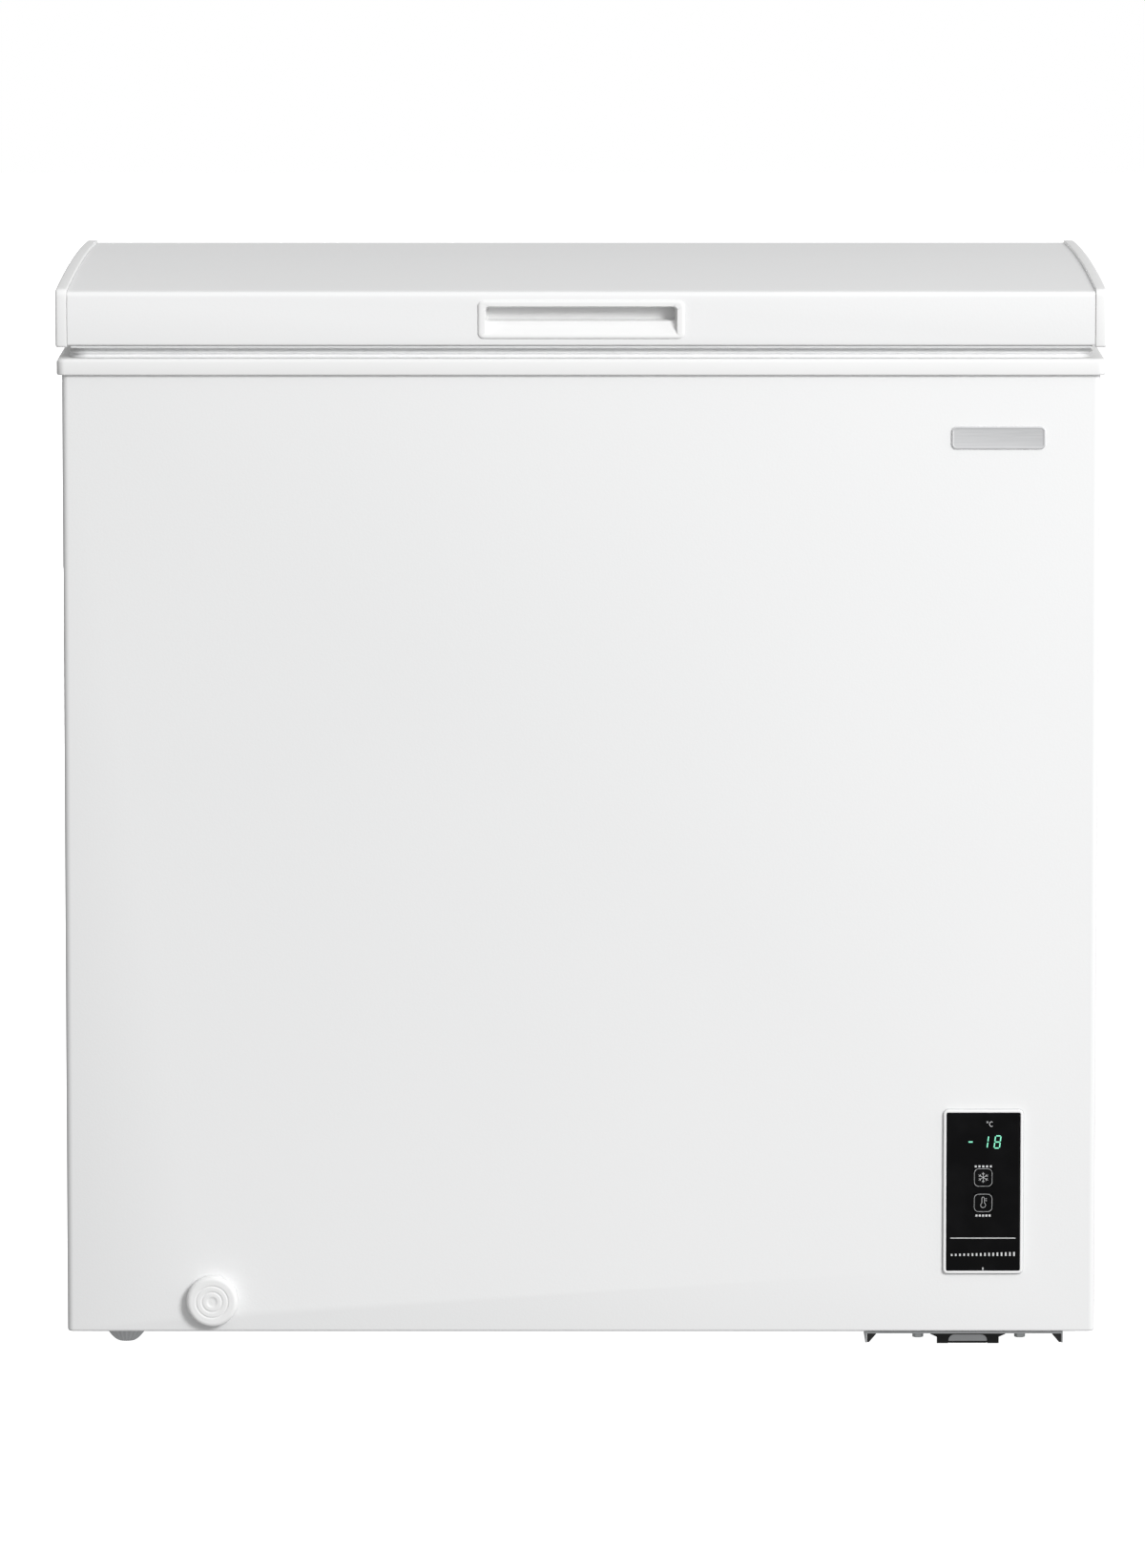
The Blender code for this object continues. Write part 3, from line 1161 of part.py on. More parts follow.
def thicken(piece, sheet):
    """Gives a surface its thickness on its outer side."""
    wall = piece.modifiers.new("sheet", "SOLIDIFY")
    wall.thickness = sheet
    wall.offset = 1.0
    wall.use_even_offset = True


def make_lid_skin():
    """Painted sheet bent over the foam, with a hem under the front and the back."""
    half = LID_DEPTH / 2
    profile = [(-half + LID_HEM, LID_HEM_Z), (-half, LID_HEM_Z), *lid_outline(0), (half, LID_HEM_Z),
               (half - LID_HEM, LID_HEM_Z)]
    end = LID_WIDTH / 2 - CAP_WIDTH - GAP
    count = len(profile)
    mesh = bpy.data.meshes.new("lid_skin")
    verts = [(x, y, z) for x in (-end, end) for y, z in profile]
    faces = [(i, i + 1, count + i + 1, count + i) for i in range(count - 1)]
    mesh.from_pydata(verts, [], faces)
    skin = new_object("lid_skin", mesh, (0, 0, 0), WHITE_STEEL, LID_AXIS)
    thicken(skin, SHEET)
    low, high = handle_body(GAP)
    cut(skin, box("handle_hole", (low[0], low[1] - OVERSHOOT, low[2]), (high[0], high[1], high[2]),
                  parent=LID_AXIS))
    round_shading(skin)
    return skin


def handle_body(clearance):
    """The corners of the handle's body behind the lid skin."""
    bottom = LID_HEM_Z + HANDLE_RISE
    inset = HANDLE_RIM - HANDLE_WALL - clearance
    low = (-HANDLE_WIDTH / 2 + inset, -LID_DEPTH / 2, bottom + inset)
    high = (HANDLE_WIDTH / 2 - inset, -LID_DEPTH / 2 + HANDLE_DEPTH + HANDLE_WALL + clearance,
            bottom + HANDLE_HEIGHT - inset)
    return low, high


def make_lid_foam():
    under = LID_HEM_Z + SHEET + GAP
    half = LID_DEPTH / 2 - SHEET - GAP
    outline = [(-half, under), *lid_outline(SHEET + GAP), (half, under)]
    end = LID_WIDTH / 2 - CAP_WIDTH - 2 * GAP
    foam = flat("lid_foam", outline, -end, end, "YZ", parent=LID_AXIS)
    foam.data.materials.append(FOAM)
    (left, front, low), (right, back, high) = plug_room(GAP)
    fuse(foam, box("foam_plug", (left, front, low), (right, back, under + OVERSHOOT / 2), parent=LID_AXIS,
                   radius=LINER_RADIUS - LID_LINER_SHEET))
    low, high = handle_body(GAP)
    cut(foam, box("foam_pocket", (low[0], low[1] - OVERSHOOT, low[2]), high, parent=LID_AXIS))
    return foam


def plug_room(clearance):
    """The hollow in the lid liner's raised middle, which foam fills."""
    inset = PLUG_CLEARANCE + LID_LINER_SHEET + clearance
    top = LID_HEM_Z - GAP
    low = (-ROOM_W + inset, -ROOM_D + inset, top - PLUG_DROP + clearance)
    high = (ROOM_W - inset, ROOM_D - inset, top + OVERSHOOT)
    return low, high


def make_lid_liner():
    """A formed plastic sheet under the lid: a flat border and a middle that dips into the opening."""
    top = LID_HEM_Z - GAP
    border = LID_LINER_INSET
    half_w = LID_WIDTH / 2 - CAP_WIDTH - border
    half_d = LID_DEPTH / 2 - border
    liner = box("lid_liner", (-half_w, -half_d, top - LID_LINER_SHEET), (half_w, half_d, top),
                LINER_PLASTIC, LID_AXIS, radius=GASKET_RADIUS)
    plug_w = ROOM_W - PLUG_CLEARANCE
    plug_d = ROOM_D - PLUG_CLEARANCE
    plug = box("liner_plug", (-plug_w, -plug_d, top - LID_LINER_SHEET - PLUG_DROP),
               (plug_w, plug_d, top - LID_LINER_SHEET / 2), parent=LID_AXIS, radius=LINER_RADIUS)
    fuse(liner, plug)
    low, high = plug_room(0)
    cut(liner, box("liner_hollow", low, high, parent=LID_AXIS, radius=LINER_RADIUS - LID_LINER_SHEET))
    return liner


def make_lid_gasket():
    """The rubber seal under the lid, all round."""
    half_w = LID_WIDTH / 2 - GASKET_INSET
    half_d = LID_DEPTH / 2 - GASKET_INSET
    low, high = COLLAR_TOP + GAP, LID_HEM_Z - GAP - LID_LINER_SHEET - GAP
    gasket = box("lid_gasket", (-half_w, -half_d, low), (half_w, half_d, high), GREY_RUBBER, LID_AXIS,
                 radius=GASKET_RADIUS)
    half_w -= GASKET_WIDTH
    half_d -= GASKET_WIDTH
    cut(gasket, box("gasket_room", (-half_w, -half_d, low - OVERSHOOT), (half_w, half_d, high + OVERSHOOT),
                    parent=LID_AXIS, radius=GASKET_RADIUS / 2))
    return gasket


def make_lid_caps():
    """Moulded end caps that close the lid skin at each side."""
    half = LID_DEPTH / 2
    outline = [(-half, LID_HEM_Z - CAP_DROP), *lid_outline(0, CAP_PROUD), (half, LID_HEM_Z - CAP_DROP)]
    for label, side in (("left", -1), ("right", 1)):
        inner = side * (LID_WIDTH / 2 - CAP_WIDTH)
        outer = side * LID_WIDTH / 2
        cap = flat(f"lid_end_cap_{label}", outline, min(inner, outer), max(inner, outer), "YZ",
                   parent=LID_AXIS)
        cap.data.materials.append(WHITE_PLASTIC)
        bevel = cap.modifiers.new("edge", "BEVEL")
        bevel.width = CAP_BEVEL
        bevel.segments = 2
        bevel.limit_method = "ANGLE"
        bevel.angle_limit = math.radians(60)


def make_lid_handle():
    """A recessed grip: a frame on the lid's front face and a cup behind it."""
    bottom = LID_HEM_Z + HANDLE_RISE
    front = -LID_DEPTH / 2 - GAP
    handle = box("lid_handle", (-HANDLE_WIDTH / 2, front - HANDLE_PROUD, bottom),
                 (HANDLE_WIDTH / 2, front, bottom + HANDLE_HEIGHT), WHITE_PLASTIC, LID_AXIS,
                 radius=HANDLE_RADIUS, axis=1)
    low, high = handle_body(0)
    body = box("handle_body", (low[0], front - HANDLE_PROUD / 2, low[2]), high, parent=LID_AXIS)
    fuse(handle, body)
    rim = HANDLE_RIM
    grip = box("handle_grip", (-HANDLE_WIDTH / 2 + rim, front - OVERSHOOT, bottom + rim),
               (HANDLE_WIDTH / 2 - rim, -LID_DEPTH / 2 + HANDLE_DEPTH, bottom + HANDLE_HEIGHT - rim),
               parent=LID_AXIS, radius=HANDLE_RADIUS / 2, axis=1)
    cut(handle, grip)
    return handle


# ---------------------------------------------------------------- hinges

def cam_outline():
    """The cam's edge, in Y and Z: the curve that keeps a constant gap to the plunger's round nose.

    The nose's centre stands at NOSE_REACH below the pivot and rises by CAM_RATE per radian.
    Seen from the lid it runs round the pivot, and the cam is the inside parallel of that run.
    """
    points = []
    steps = 10
    for i in range(steps + 1):
        turn = LID_OPENING * i / steps
        reach = NOSE_REACH - CAM_RATE * turn
        angle = -math.pi / 2 + turn
        out = Vector((math.cos(angle), math.sin(angle)))
        across = Vector((-math.sin(angle), math.cos(angle)))
        normal = (out * reach + across * CAM_RATE).normalized()
        points.append(out * reach - normal * (NOSE_RADIUS + GAP))
    small = points[-1].length
    large = points[0].length
    end = math.atan2(points[-1].y, points[-1].x)
    points += [Vector(p) for p in arc((0, 0), small, end, math.pi, 6)][1:]
    points += [Vector(p) for p in arc((0, 0), large, -math.pi / 2 - CAM_LOBE, -math.pi / 2, 4)][:-1]
    return [(PIVOT_Y + p.x, PIVOT_Z + p.y) for p in points]


def make_hinge_arm(label, x):
    """The lid's half of a hinge: a plate on the lid's back, two cheeks and the cam between them."""
    back = LID_DEPTH / 2 + GAP
    sheet = BRACKET_SHEET
    half = BASE_WIDTH / 2 - sheet - RUNNING_GAP
    low = LID_HEM_Z + sheet
    arm = box(f"hinge_arm_{label}", (x - half, back, low), (x + half, back + sheet, low + ARM_HEIGHT),
              WHITE_STEEL, LID_AXIS)
    outline = [(back + sheet / 2, low + ARM_HEIGHT), (back + sheet / 2, low)]
    outline += list(arc((PIVOT_Y, PIVOT_Z), ARM_CHEEK_RADIUS, math.radians(190), math.radians(405), 10))
    cheeks = [flat(f"arm_cheek_{label}_{i}", outline, min(a, b), max(a, b), "YZ", parent=LID_AXIS)
              for i, (a, b) in enumerate(((x - half, x - half + sheet), (x + half, x + half - sheet)))]
    cam = flat(f"arm_cam_{label}", cam_outline(), x - half + sheet / 2, x + half - sheet / 2, "YZ",
               parent=LID_AXIS)
    fuse(arm, *cheeks, cam)
    hole = rod(f"arm_bore_{label}", (x, PIVOT_Y, PIVOT_Z), PIN_RADIUS + GAP, 2 * BASE_WIDTH, "X", 16,
               parent=LID_AXIS)
    cut(arm, hole)


def make_hinge_base(label, x):
    """The cabinet's half of a hinge: a channel with two ears for the pin and a seat for the spring."""
    sheet = BRACKET_SHEET
    half = BASE_WIDTH / 2
    back = HALF_D + GAP
    rear = PIVOT_Y + EAR_RADIUS
    low = PIVOT_Z - BASE_DROP
    under_collar = CABINET_TOP - sheet
    ear_front = HALF_D + COLLAR_OVERHANG + RUNNING_GAP + sheet
    base = box(f"hinge_base_{label}", (x - half, back, low), (x + half, back + sheet, under_collar),
               ZINC_PLATE)
    outline = [(back, low), (rear, low), *arc((PIVOT_Y, PIVOT_Z), EAR_RADIUS, 0, math.pi, 8),
               (ear_front, COLLAR_TOP - sheet), (ear_front, under_collar), (back, under_collar)]
    ears = [flat(f"base_ear_{label}_{i}", outline, min(a, b), max(a, b), "YZ")
            for i, (a, b) in enumerate(((x - half, x - half + sheet), (x + half, x + half - sheet)))]
    seat = box(f"base_seat_{label}", (x - half, back, low), (x + half, rear, low + sheet))
    fuse(base, *ears, seat)
    cut(base, rod(f"base_bore_{label}", (x, PIVOT_Y, PIVOT_Z), PIN_RADIUS + GAP, 2 * BASE_WIDTH, "X", 16))
    return low + sheet


def make_hinge_pin(label, x):
    half = BASE_WIDTH / 2 + GAP
    head = BRACKET_SHEET
    profile = [(0, half + head), (PIN_RADIUS + head, half + head), (PIN_RADIUS + head, half),
               (PIN_RADIUS, half), (PIN_RADIUS, -half - head), (0, -half - head)]
    pin = turned(f"hinge_pin_{label}", profile, (x, PIVOT_Y, PIVOT_Z), ZINC, axis="X", steps=12)
    round_shading(pin)


def make_hinge_plunger(label, x):
    """A sprung head with a round nose that bears on the cam, and a stem inside the spring."""
    nose = PIVOT_Z - NOSE_REACH
    shoulder = nose - PLUNGER_NECK
    under = shoulder - PLUNGER_HEAD
    axis = new_axis(f"hinge_plunger_{label}_axis", (x, PIVOT_Y, under))
    half = PLUNGER_DEPTH / 2
    outline = [(-half, under), (half, under), (half, shoulder), (NOSE_RADIUS, shoulder),
               *arc((0, nose), NOSE_RADIUS, 0, math.pi, 6), (-NOSE_RADIUS, shoulder), (-half, shoulder)]
    outline = [(PIVOT_Y + y, z) for y, z in outline]
    head = flat(f"hinge_plunger_{label}", outline, x - PLUNGER_WIDTH / 2, x + PLUNGER_WIDTH / 2, "YZ",
                parent=axis)
    head.data.materials.append(BLACK_PLASTIC)
    fuse(head, rod(f"plunger_stem_{label}", (x, PIVOT_Y, under - STEM_LENGTH / 2 + MERGE), STEM_RADIUS,
                   STEM_LENGTH, "Z", 12, parent=axis))
    return under


def make_hinge_spring(label, x, low, high):
    """A compression spring from the seat to the plunger's head."""
    per_turn = 8
    start, end = low + GAP + SPRING_WIRE, high - GAP - SPRING_WIRE
    count = SPRING_TURNS * per_turn
    points = []
    for i in range(count + 1):
        angle = 2 * math.pi * i / per_turn
        points.append((x + SPRING_RADIUS * math.cos(angle), PIVOT_Y + SPRING_RADIUS * math.sin(angle),
                       start + (end - start) * i / count))
    tube(f"hinge_spring_{label}", points, SPRING_WIRE, SPRING_STEEL, resolution=1)


def make_hinges():
    for label, side in (("left", -1), ("right", 1)):
        x = side * HINGE_SPACING / 2
        make_hinge_arm(label, x)
        seat = make_hinge_base(label, x)
        make_hinge_pin(label, x)
        head = make_hinge_plunger(label, x)
        make_hinge_spring(label, x, seat, head)


# ---------------------------------------------------------------- basket

def make_basket():
    """A wire basket that hangs by its front and back edges on the collar's ledge."""
    top = LEDGE_Z + GAP + BASKET_WIRE
    low = top - BASKET_HEIGHT
    wire = BASKET_WIRE
    left, right = BASKET_X - BASKET_LENGTH / 2, BASKET_X + BASKET_LENGTH / 2
    half = BASKET_HALF_D
    axis = new_axis("basket_axis", (BASKET_X, 0, top))
    basket = box("basket", (left, -half, low), (right, half, top), WHITE_WIRE, axis, radius=BASKET_RADIUS)
    reach = ROOM_D + BASKET_HANGER
    hangers = [box(f"basket_hanger_{i}", (left + BASKET_RADIUS, min(a, b), top - wire),
                   (right - BASKET_RADIUS, max(a, b), top), parent=axis)
               for i, (a, b) in enumerate(((-reach, -half + wire), (reach, half - wire)))]
    fuse(basket, *hangers)
    room = box("basket_room", (left + wire, -half + wire, low + wire),
               (right - wire, half - wire, top + OVERSHOOT), parent=axis, radius=BASKET_RADIUS - wire)
    ends = box("basket_ends", (left - OVERSHOOT, -half + BASKET_RADIUS, top - BASKET_SIDE_DROP),
               (right + OVERSHOOT, half - BASKET_RADIUS, top + OVERSHOOT), parent=axis)
    cut(basket, room, ends, *basket_windows(left, right, half, low, top, axis))
    return basket


def spans(low, high, count, bar):
    """Equal windows between bars, from low to high."""
    width = (high - low - (count - 1) * bar) / count
    return [(low + i * (width + bar), low + i * (width + bar) + width) for i in range(count)]


def basket_windows(left, right, half, low, top, axis):
    """Cutters for the gaps between the wires of the sides, the ends and the floor."""
    margin = BASKET_RADIUS + BASKET_BAR / 2
    along_x = spans(left + margin, right - margin, BASKET_BARS_X, BASKET_BAR)
    along_y = spans(-half + margin, half - margin, BASKET_BARS_Y, BASKET_BAR)
    along_z = spans(low + margin, top - BASKET_SIDE_DROP - BASKET_BAR, BASKET_BARS_Z, BASKET_BAR)
    past = OVERSHOOT
    sides = [((x0, y0, z0), (x1, y1, z1)) for x0, x1 in along_x for z0, z1 in along_z
             for y0, y1 in ((-half - past, -half + past), (half - past, half + past))]
    ends = [((x0, y0, z0), (x1, y1, z1)) for y0, y1 in along_y for z0, z1 in along_z
            for x0, x1 in ((left - past, left + past), (right - past, right + past))]
    floor = [((x0, y0, low - past), (x1, y1, low + past)) for x0, x1 in along_x for y0, y1 in along_y]
    made = [boxes("basket_side_gaps", sides), boxes("basket_end_gaps", ends),
            boxes("basket_floor_gaps", floor)]
    for piece in made:
        piece.parent = axis
        piece.location = -Vector(axis["place"])
    return made


# ---------------------------------------------------------------- the whole freezer

clear_scene()
PARTS = new_collection("chest_freezer")
CUTTERS = new_collection("cutters")
CABINET = bpy.data.objects.new("cabinet_middle", None)
CABINET.location = (0, FRAME_Y, 0)
PARTS.objects.link(CABINET)
LID_AXIS = new_axis("lid_axis", (0, PIVOT_Y, PIVOT_Z))

WHITE_STEEL = new_material("white_painted_steel", (0.83, 0.83, 0.83), 0.32)
WHITE_PLASTIC = new_material("white_plastic", (0.84, 0.84, 0.84), 0.38)
LINER_PLASTIC = new_material("liner_plastic", (0.86, 0.87, 0.87), 0.30)
WHITE_WIRE = new_material("white_coated_wire", (0.85, 0.85, 0.85), 0.35)
FOAM = new_material("insulating_foam", (0.80, 0.70, 0.45), 0.95)
GALVANISED = new_material("galvanised_steel", (0.55, 0.57, 0.58), 0.42, 0.9)
ZINC = new_material("zinc_fastener", (0.60, 0.60, 0.60), 0.35, 1.0)
ZINC_PLATE = new_material("zinc_bracket", (0.62, 0.62, 0.62), 0.40, 0.9)
SPRING_STEEL = new_material("spring_steel", (0.40, 0.40, 0.42), 0.35, 1.0)
CAST_IRON = new_material("cast_iron", (0.22, 0.22, 0.22), 0.7, 0.8)
BLACK_PAINT = new_material("black_paint", (0.02, 0.02, 0.02), 0.35)
COPPER = new_material("copper", (0.72, 0.42, 0.28), 0.35, 1.0)
COPPER_COATED = new_material("coated_tube", (0.30, 0.28, 0.26), 0.45, 0.6)
ALUMINIUM = new_material("aluminium_tube", (0.75, 0.75, 0.76), 0.35, 1.0)
CHROME = new_material("bright_plate", (0.75, 0.75, 0.76), 0.15, 1.0)
GLOSS_BLACK = new_material("gloss_black", (0.006, 0.006, 0.006), 0.08)
GREEN_BOARD = new_material("circuit_board", (0.02, 0.20, 0.08), 0.5)
GREY_PLASTIC = new_material("grey_plastic", (0.55, 0.55, 0.55), 0.5)
BLACK_PLASTIC = new_material("black_plastic", (0.03, 0.03, 0.03), 0.5)
GREY_RUBBER = new_material("grey_rubber", (0.32, 0.32, 0.32), 0.75)
BLACK_RUBBER = new_material("black_rubber", (0.02, 0.02, 0.02), 0.75)

make_outer_shell()
make_back_panel()
make_floor_plate()
make_insulation_foam()
make_inner_liner()
make_top_collar()
make_cooling_circuit()
make_compressor_tray()
make_tray_feet()
make_tray_screws()
make_compressor()
make_rear_grille()
make_drain()
make_screw_feet()
make_control_panel()
make_badge()
make_lid_skin()
make_lid_foam()
make_lid_liner()
make_lid_gasket()
make_lid_caps()
make_lid_handle()
make_hinges()
make_basket()
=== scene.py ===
"""Looks of the chest freezer, round its CAD frame: sheet, mouldings, basket, controls and hinges."""
import json

import bmesh
import bpy
import numpy as np
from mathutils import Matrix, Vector


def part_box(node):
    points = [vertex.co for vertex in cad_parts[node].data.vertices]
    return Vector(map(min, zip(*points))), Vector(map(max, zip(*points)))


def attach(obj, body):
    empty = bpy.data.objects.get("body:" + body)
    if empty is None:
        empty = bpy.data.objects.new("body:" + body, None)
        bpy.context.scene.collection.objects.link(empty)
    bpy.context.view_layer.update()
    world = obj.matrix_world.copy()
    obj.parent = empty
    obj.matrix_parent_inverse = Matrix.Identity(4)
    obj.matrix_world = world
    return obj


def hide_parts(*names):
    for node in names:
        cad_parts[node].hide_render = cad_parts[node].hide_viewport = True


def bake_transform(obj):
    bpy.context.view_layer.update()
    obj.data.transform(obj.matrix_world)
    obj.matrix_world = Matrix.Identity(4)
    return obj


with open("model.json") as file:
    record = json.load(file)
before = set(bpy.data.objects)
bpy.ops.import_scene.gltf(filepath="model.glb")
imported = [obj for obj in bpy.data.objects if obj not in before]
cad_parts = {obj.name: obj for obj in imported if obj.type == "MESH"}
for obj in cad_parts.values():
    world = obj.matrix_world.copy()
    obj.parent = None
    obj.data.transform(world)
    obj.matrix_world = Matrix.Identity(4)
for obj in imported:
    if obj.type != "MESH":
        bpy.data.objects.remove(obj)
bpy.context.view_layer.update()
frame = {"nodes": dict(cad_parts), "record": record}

NODES = frame["nodes"]
SLOT_OF = {part["node"]: part["material_slot"] for part in frame["record"]["subparts"]}
BODY_OF = {node: body for body, group in frame["record"]["behaviour"]["bodies"].items() for node in group}

# Sizes of the fine surface, in metres
MERGE = 0.000002             # points closer than this are one
SHEET = 0.0008
SHELL_LIP = 0.014
FOLD_RADIUS = 0.0022
SKIN_EDGE_RADIUS = 0.0045
CROWN = 0.0045               # rise of the lid's top over its edges
WIRE = 0.0015
RIM_WIRE = 0.0021
SPRING_WIRE = 0.0012
SPRING_COIL = 0.008
PRINT = 0.00006


# ---------------------------------------------------------------- camera and room

SENSOR = 36.0                # mm
VIEW_HEIGHT = 1.2379         # what the view takes in at the front plane
CAMERA_BACK = 8.0            # from the front plane
CAMERA_HEIGHT = 1.46
AIM = Vector((-0.0068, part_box("outer_shell")[0].y, 0.4537))
KEY_POWER = 350              # watts
RIGHT_POWER = 10
REAR_POWER = 175
ROOM_ACROSS = (-0.8, 0.8, 0.82, 1.28)    # from and to, and the strength at the left and the right
ROOM_UP = (-0.15, 0.5, 0.42, 0.72)       # from and to, and the strength below and overhead


def place_camera():
    """A long lens in front of the freezer and above its lid, turned down to the middle of its front."""
    camera = bpy.data.objects.new("camera", bpy.data.cameras.new("camera"))
    bpy.context.scene.collection.objects.link(camera)
    camera.location = (AIM.x, AIM.y - CAMERA_BACK, CAMERA_HEIGHT)
    sight = AIM - camera.location
    camera.rotation_euler = sight.to_track_quat("-Z", "Y").to_euler()
    camera.data.sensor_width = SENSOR
    camera.data.lens = sight.length / VIEW_HEIGHT * SENSOR
    camera.data.clip_end = 100
    bpy.context.scene.camera = camera


def soft_box(name, place, target, width, height, power):
    """A rectangular lamp that faces a target."""
    data = bpy.data.lights.new(name, "AREA")
    data.shape = "RECTANGLE"
    data.size = width
    data.size_y = height
    data.energy = power
    light = bpy.data.objects.new(name, data)
    bpy.context.scene.collection.objects.link(light)
    light.location = place
    light.rotation_euler = (Vector(target) - Vector(place)).to_track_quat("-Z", "Y").to_euler()
    return light


def light_room():
    """Soft surroundings, dim below and at the left, and soft boxes high at the front right, at the right and
    behind. The camera sees plain white instead."""
    world = bpy.data.worlds.new("studio")
    bpy.context.scene.world = world
    world.use_nodes = True
    tree = world.node_tree
    white = tree.nodes["Background"]
    white.inputs["Color"].default_value = (1, 1, 1, 1)
    room = tree.nodes.new("ShaderNodeBackground")
    place = tree.nodes.new("ShaderNodeTexCoord")
    split = tree.nodes.new("ShaderNodeSeparateXYZ")
    tree.links.new(place.outputs["Generated"], split.inputs[0])
    across = tree.nodes.new("ShaderNodeMapRange")
    up = tree.nodes.new("ShaderNodeMapRange")
    for spread, axis, ends in ((across, "X", ROOM_ACROSS), (up, "Z", ROOM_UP)):
        tree.links.new(split.outputs[axis], spread.inputs["Value"])
        for socket, value in zip(("From Min", "From Max", "To Min", "To Max"), ends):
            spread.inputs[socket].default_value = value
    both = tree.nodes.new("ShaderNodeMath")
    both.operation = "MULTIPLY"
    tree.links.new(across.outputs[0], both.inputs[0])
    tree.links.new(up.outputs[0], both.inputs[1])
    tree.links.new(both.outputs[0], room.inputs["Strength"])
    seen = tree.nodes.new("ShaderNodeMixShader")
    ray = tree.nodes.new("ShaderNodeLightPath")
    tree.links.new(ray.outputs["Is Camera Ray"], seen.inputs["Fac"])
    tree.links.new(room.outputs[0], seen.inputs[1])
    tree.links.new(white.outputs[0], seen.inputs[2])
    tree.links.new(seen.outputs[0], tree.nodes["World Output"].inputs["Surface"])
    key = soft_box("key_box", (3.5, -5.5, 3.3), (0, -0.2, 0.4), 2.0, 2.0, KEY_POWER)
    key.visible_glossy = False
    soft_box("right_box", (3.4, -0.8, 1.0), (0, 0, 0.5), 1.4, 2.4, RIGHT_POWER)
    rear = soft_box("rear_box", (-1.6, 5.4, 0.9), (0, 0, 0.45), 3.0, 1.6, REAR_POWER)
    rear.visible_glossy = False


# ---------------------------------------------------------------- shader maths

class Term:
    """A socket in a sum: each operator adds the Math node that it needs."""

    def __init__(self, paint, socket):
        self.paint = paint
        self.socket = socket

    def math(self, operation, first, second):
        return self.paint.node("ShaderNodeMath", {0: first, 1: second}, operation=operation)

    def __add__(self, other):
        return self.math("ADD", self, other)

    __radd__ = __add__

    def __mul__(self, other):
        return self.math("MULTIPLY", self, other)

    __rmul__ = __mul__

    def __sub__(self, other):
        return self.math("SUBTRACT", self, other)

    def __rsub__(self, other):
        return self.math("SUBTRACT", other, self)


class Paint:
    """One finish: a material, its Principled shader, and the object coordinates it reads."""

    def __init__(self, name, **constants):
        self.material = bpy.data.materials.new(name)
        self.material.use_nodes = True
        self.tree = self.material.node_tree
        self.shader = self.tree.nodes["Principled BSDF"]
        for words, value in constants.items():
            self.shader.inputs[words.replace("_", " ").title().replace("Ior", "IOR")].default_value = value
        self.place = self.node("ShaderNodeTexCoord", output="Object")

    def node(self, kind, sockets=None, output=0, stops=None, **settings):
        """A node of that type: settings and a ramp's stops first, then the values or links of its sockets."""
        made = self.tree.nodes.new(kind)
        for word, value in settings.items():
            setattr(made, word, value)
        if stops:
            ends = made.color_ramp.elements
            while len(ends) < len(stops):
                ends.new(1.0)
            for end, (position, colour) in zip(ends, stops):
                end.position = position
                end.color = (*colour, 1.0)
        for socket, value in (sockets or {}).items():
            self.feed(made.inputs[socket], value)
        return Term(self, made.outputs[output])

    def feed(self, socket, value):
        if isinstance(value, Term):
            self.tree.links.new(value.socket, socket)
        else:
            socket.default_value = value

    def set(self, socket, value):
        self.feed(self.shader.inputs[socket], value)

    def stretched(self, x, y, z):
        """Object coordinates scaled by axis, so that a pattern runs long in one direction."""
        return self.node("ShaderNodeMapping", {"Vector": self.place, "Scale": (x, y, z)})

    def noise(self, scale, detail=2.0, roughness=0.5, place=None):
        return self.node("ShaderNodeTexNoise", {"Vector": place or self.place, "Scale": scale,
                                                "Detail": detail, "Roughness": roughness})

    def cells(self, scale, feature="F1", output="Distance", place=None):
        return self.node("ShaderNodeTexVoronoi", {"Vector": place or self.place, "Scale": scale},
                         output=output, feature=feature)

    def between(self, share, low, high):
        """A colour that goes from low to high as share goes from 0 to 1."""
        return self.node("ShaderNodeMix", {0: share, 6: (*low, 1.0), 7: (*high, 1.0)}, output=2,
                         data_type="RGBA")

    def sharpened(self, share, low, high):
        """The stretch of share from low to high, spread over 0 to 1."""
        return self.node("ShaderNodeMapRange", {0: share, 1: low, 2: high, 3: 0.0, 4: 1.0})

    def relief(self, height, distance, strength=1.0):
        self.set("Normal", self.node("ShaderNodeBump", {"Height": height, "Distance": distance,
                                                        "Strength": strength}))


def painted_steel():
    """Powder-coated white sheet: faint orange peel, a slight drift in tone, a clear skin."""
    paint = Paint("painted_steel", coat_weight=0.06, coat_roughness=0.2)
    drift = paint.noise(2.3, 3.0)
    paint.set("Base Color", paint.between(drift, (0.845, 0.850, 0.853), (0.880, 0.882, 0.882)))
    peel = paint.noise(520, 2.0)
    paint.set("Roughness", 0.38 + peel * 0.08)
    paint.relief(peel, 0.00006)
    return paint


def white_moulding():
    """White ABS with a fine spark-eroded grain and slightly glossier high spots."""
    paint = Paint("white_moulding")
    drift = paint.noise(5.0, 3.0)
    paint.set("Base Color", paint.between(drift, (0.850, 0.852, 0.850), (0.885, 0.886, 0.884)))
    grain = paint.noise(2600, 3.0)
    paint.set("Roughness", 0.36 + grain * 0.12)
    paint.relief(grain, 0.00003)
    return paint


def liner_sheet():
    """Vacuum-formed white polystyrene: a soft hammered surface, shinier where it was drawn thin."""
    paint = Paint("liner_sheet")
    dimples = paint.cells(150, "SMOOTH_F1")
    drift = paint.noise(4.0, 2.0)
    paint.set("Base Color", paint.between(drift, (0.850, 0.862, 0.868), (0.885, 0.892, 0.895)))
    paint.set("Roughness", 0.30 + drift * 0.12)
    paint.relief(dimples, 0.00025)
    return paint


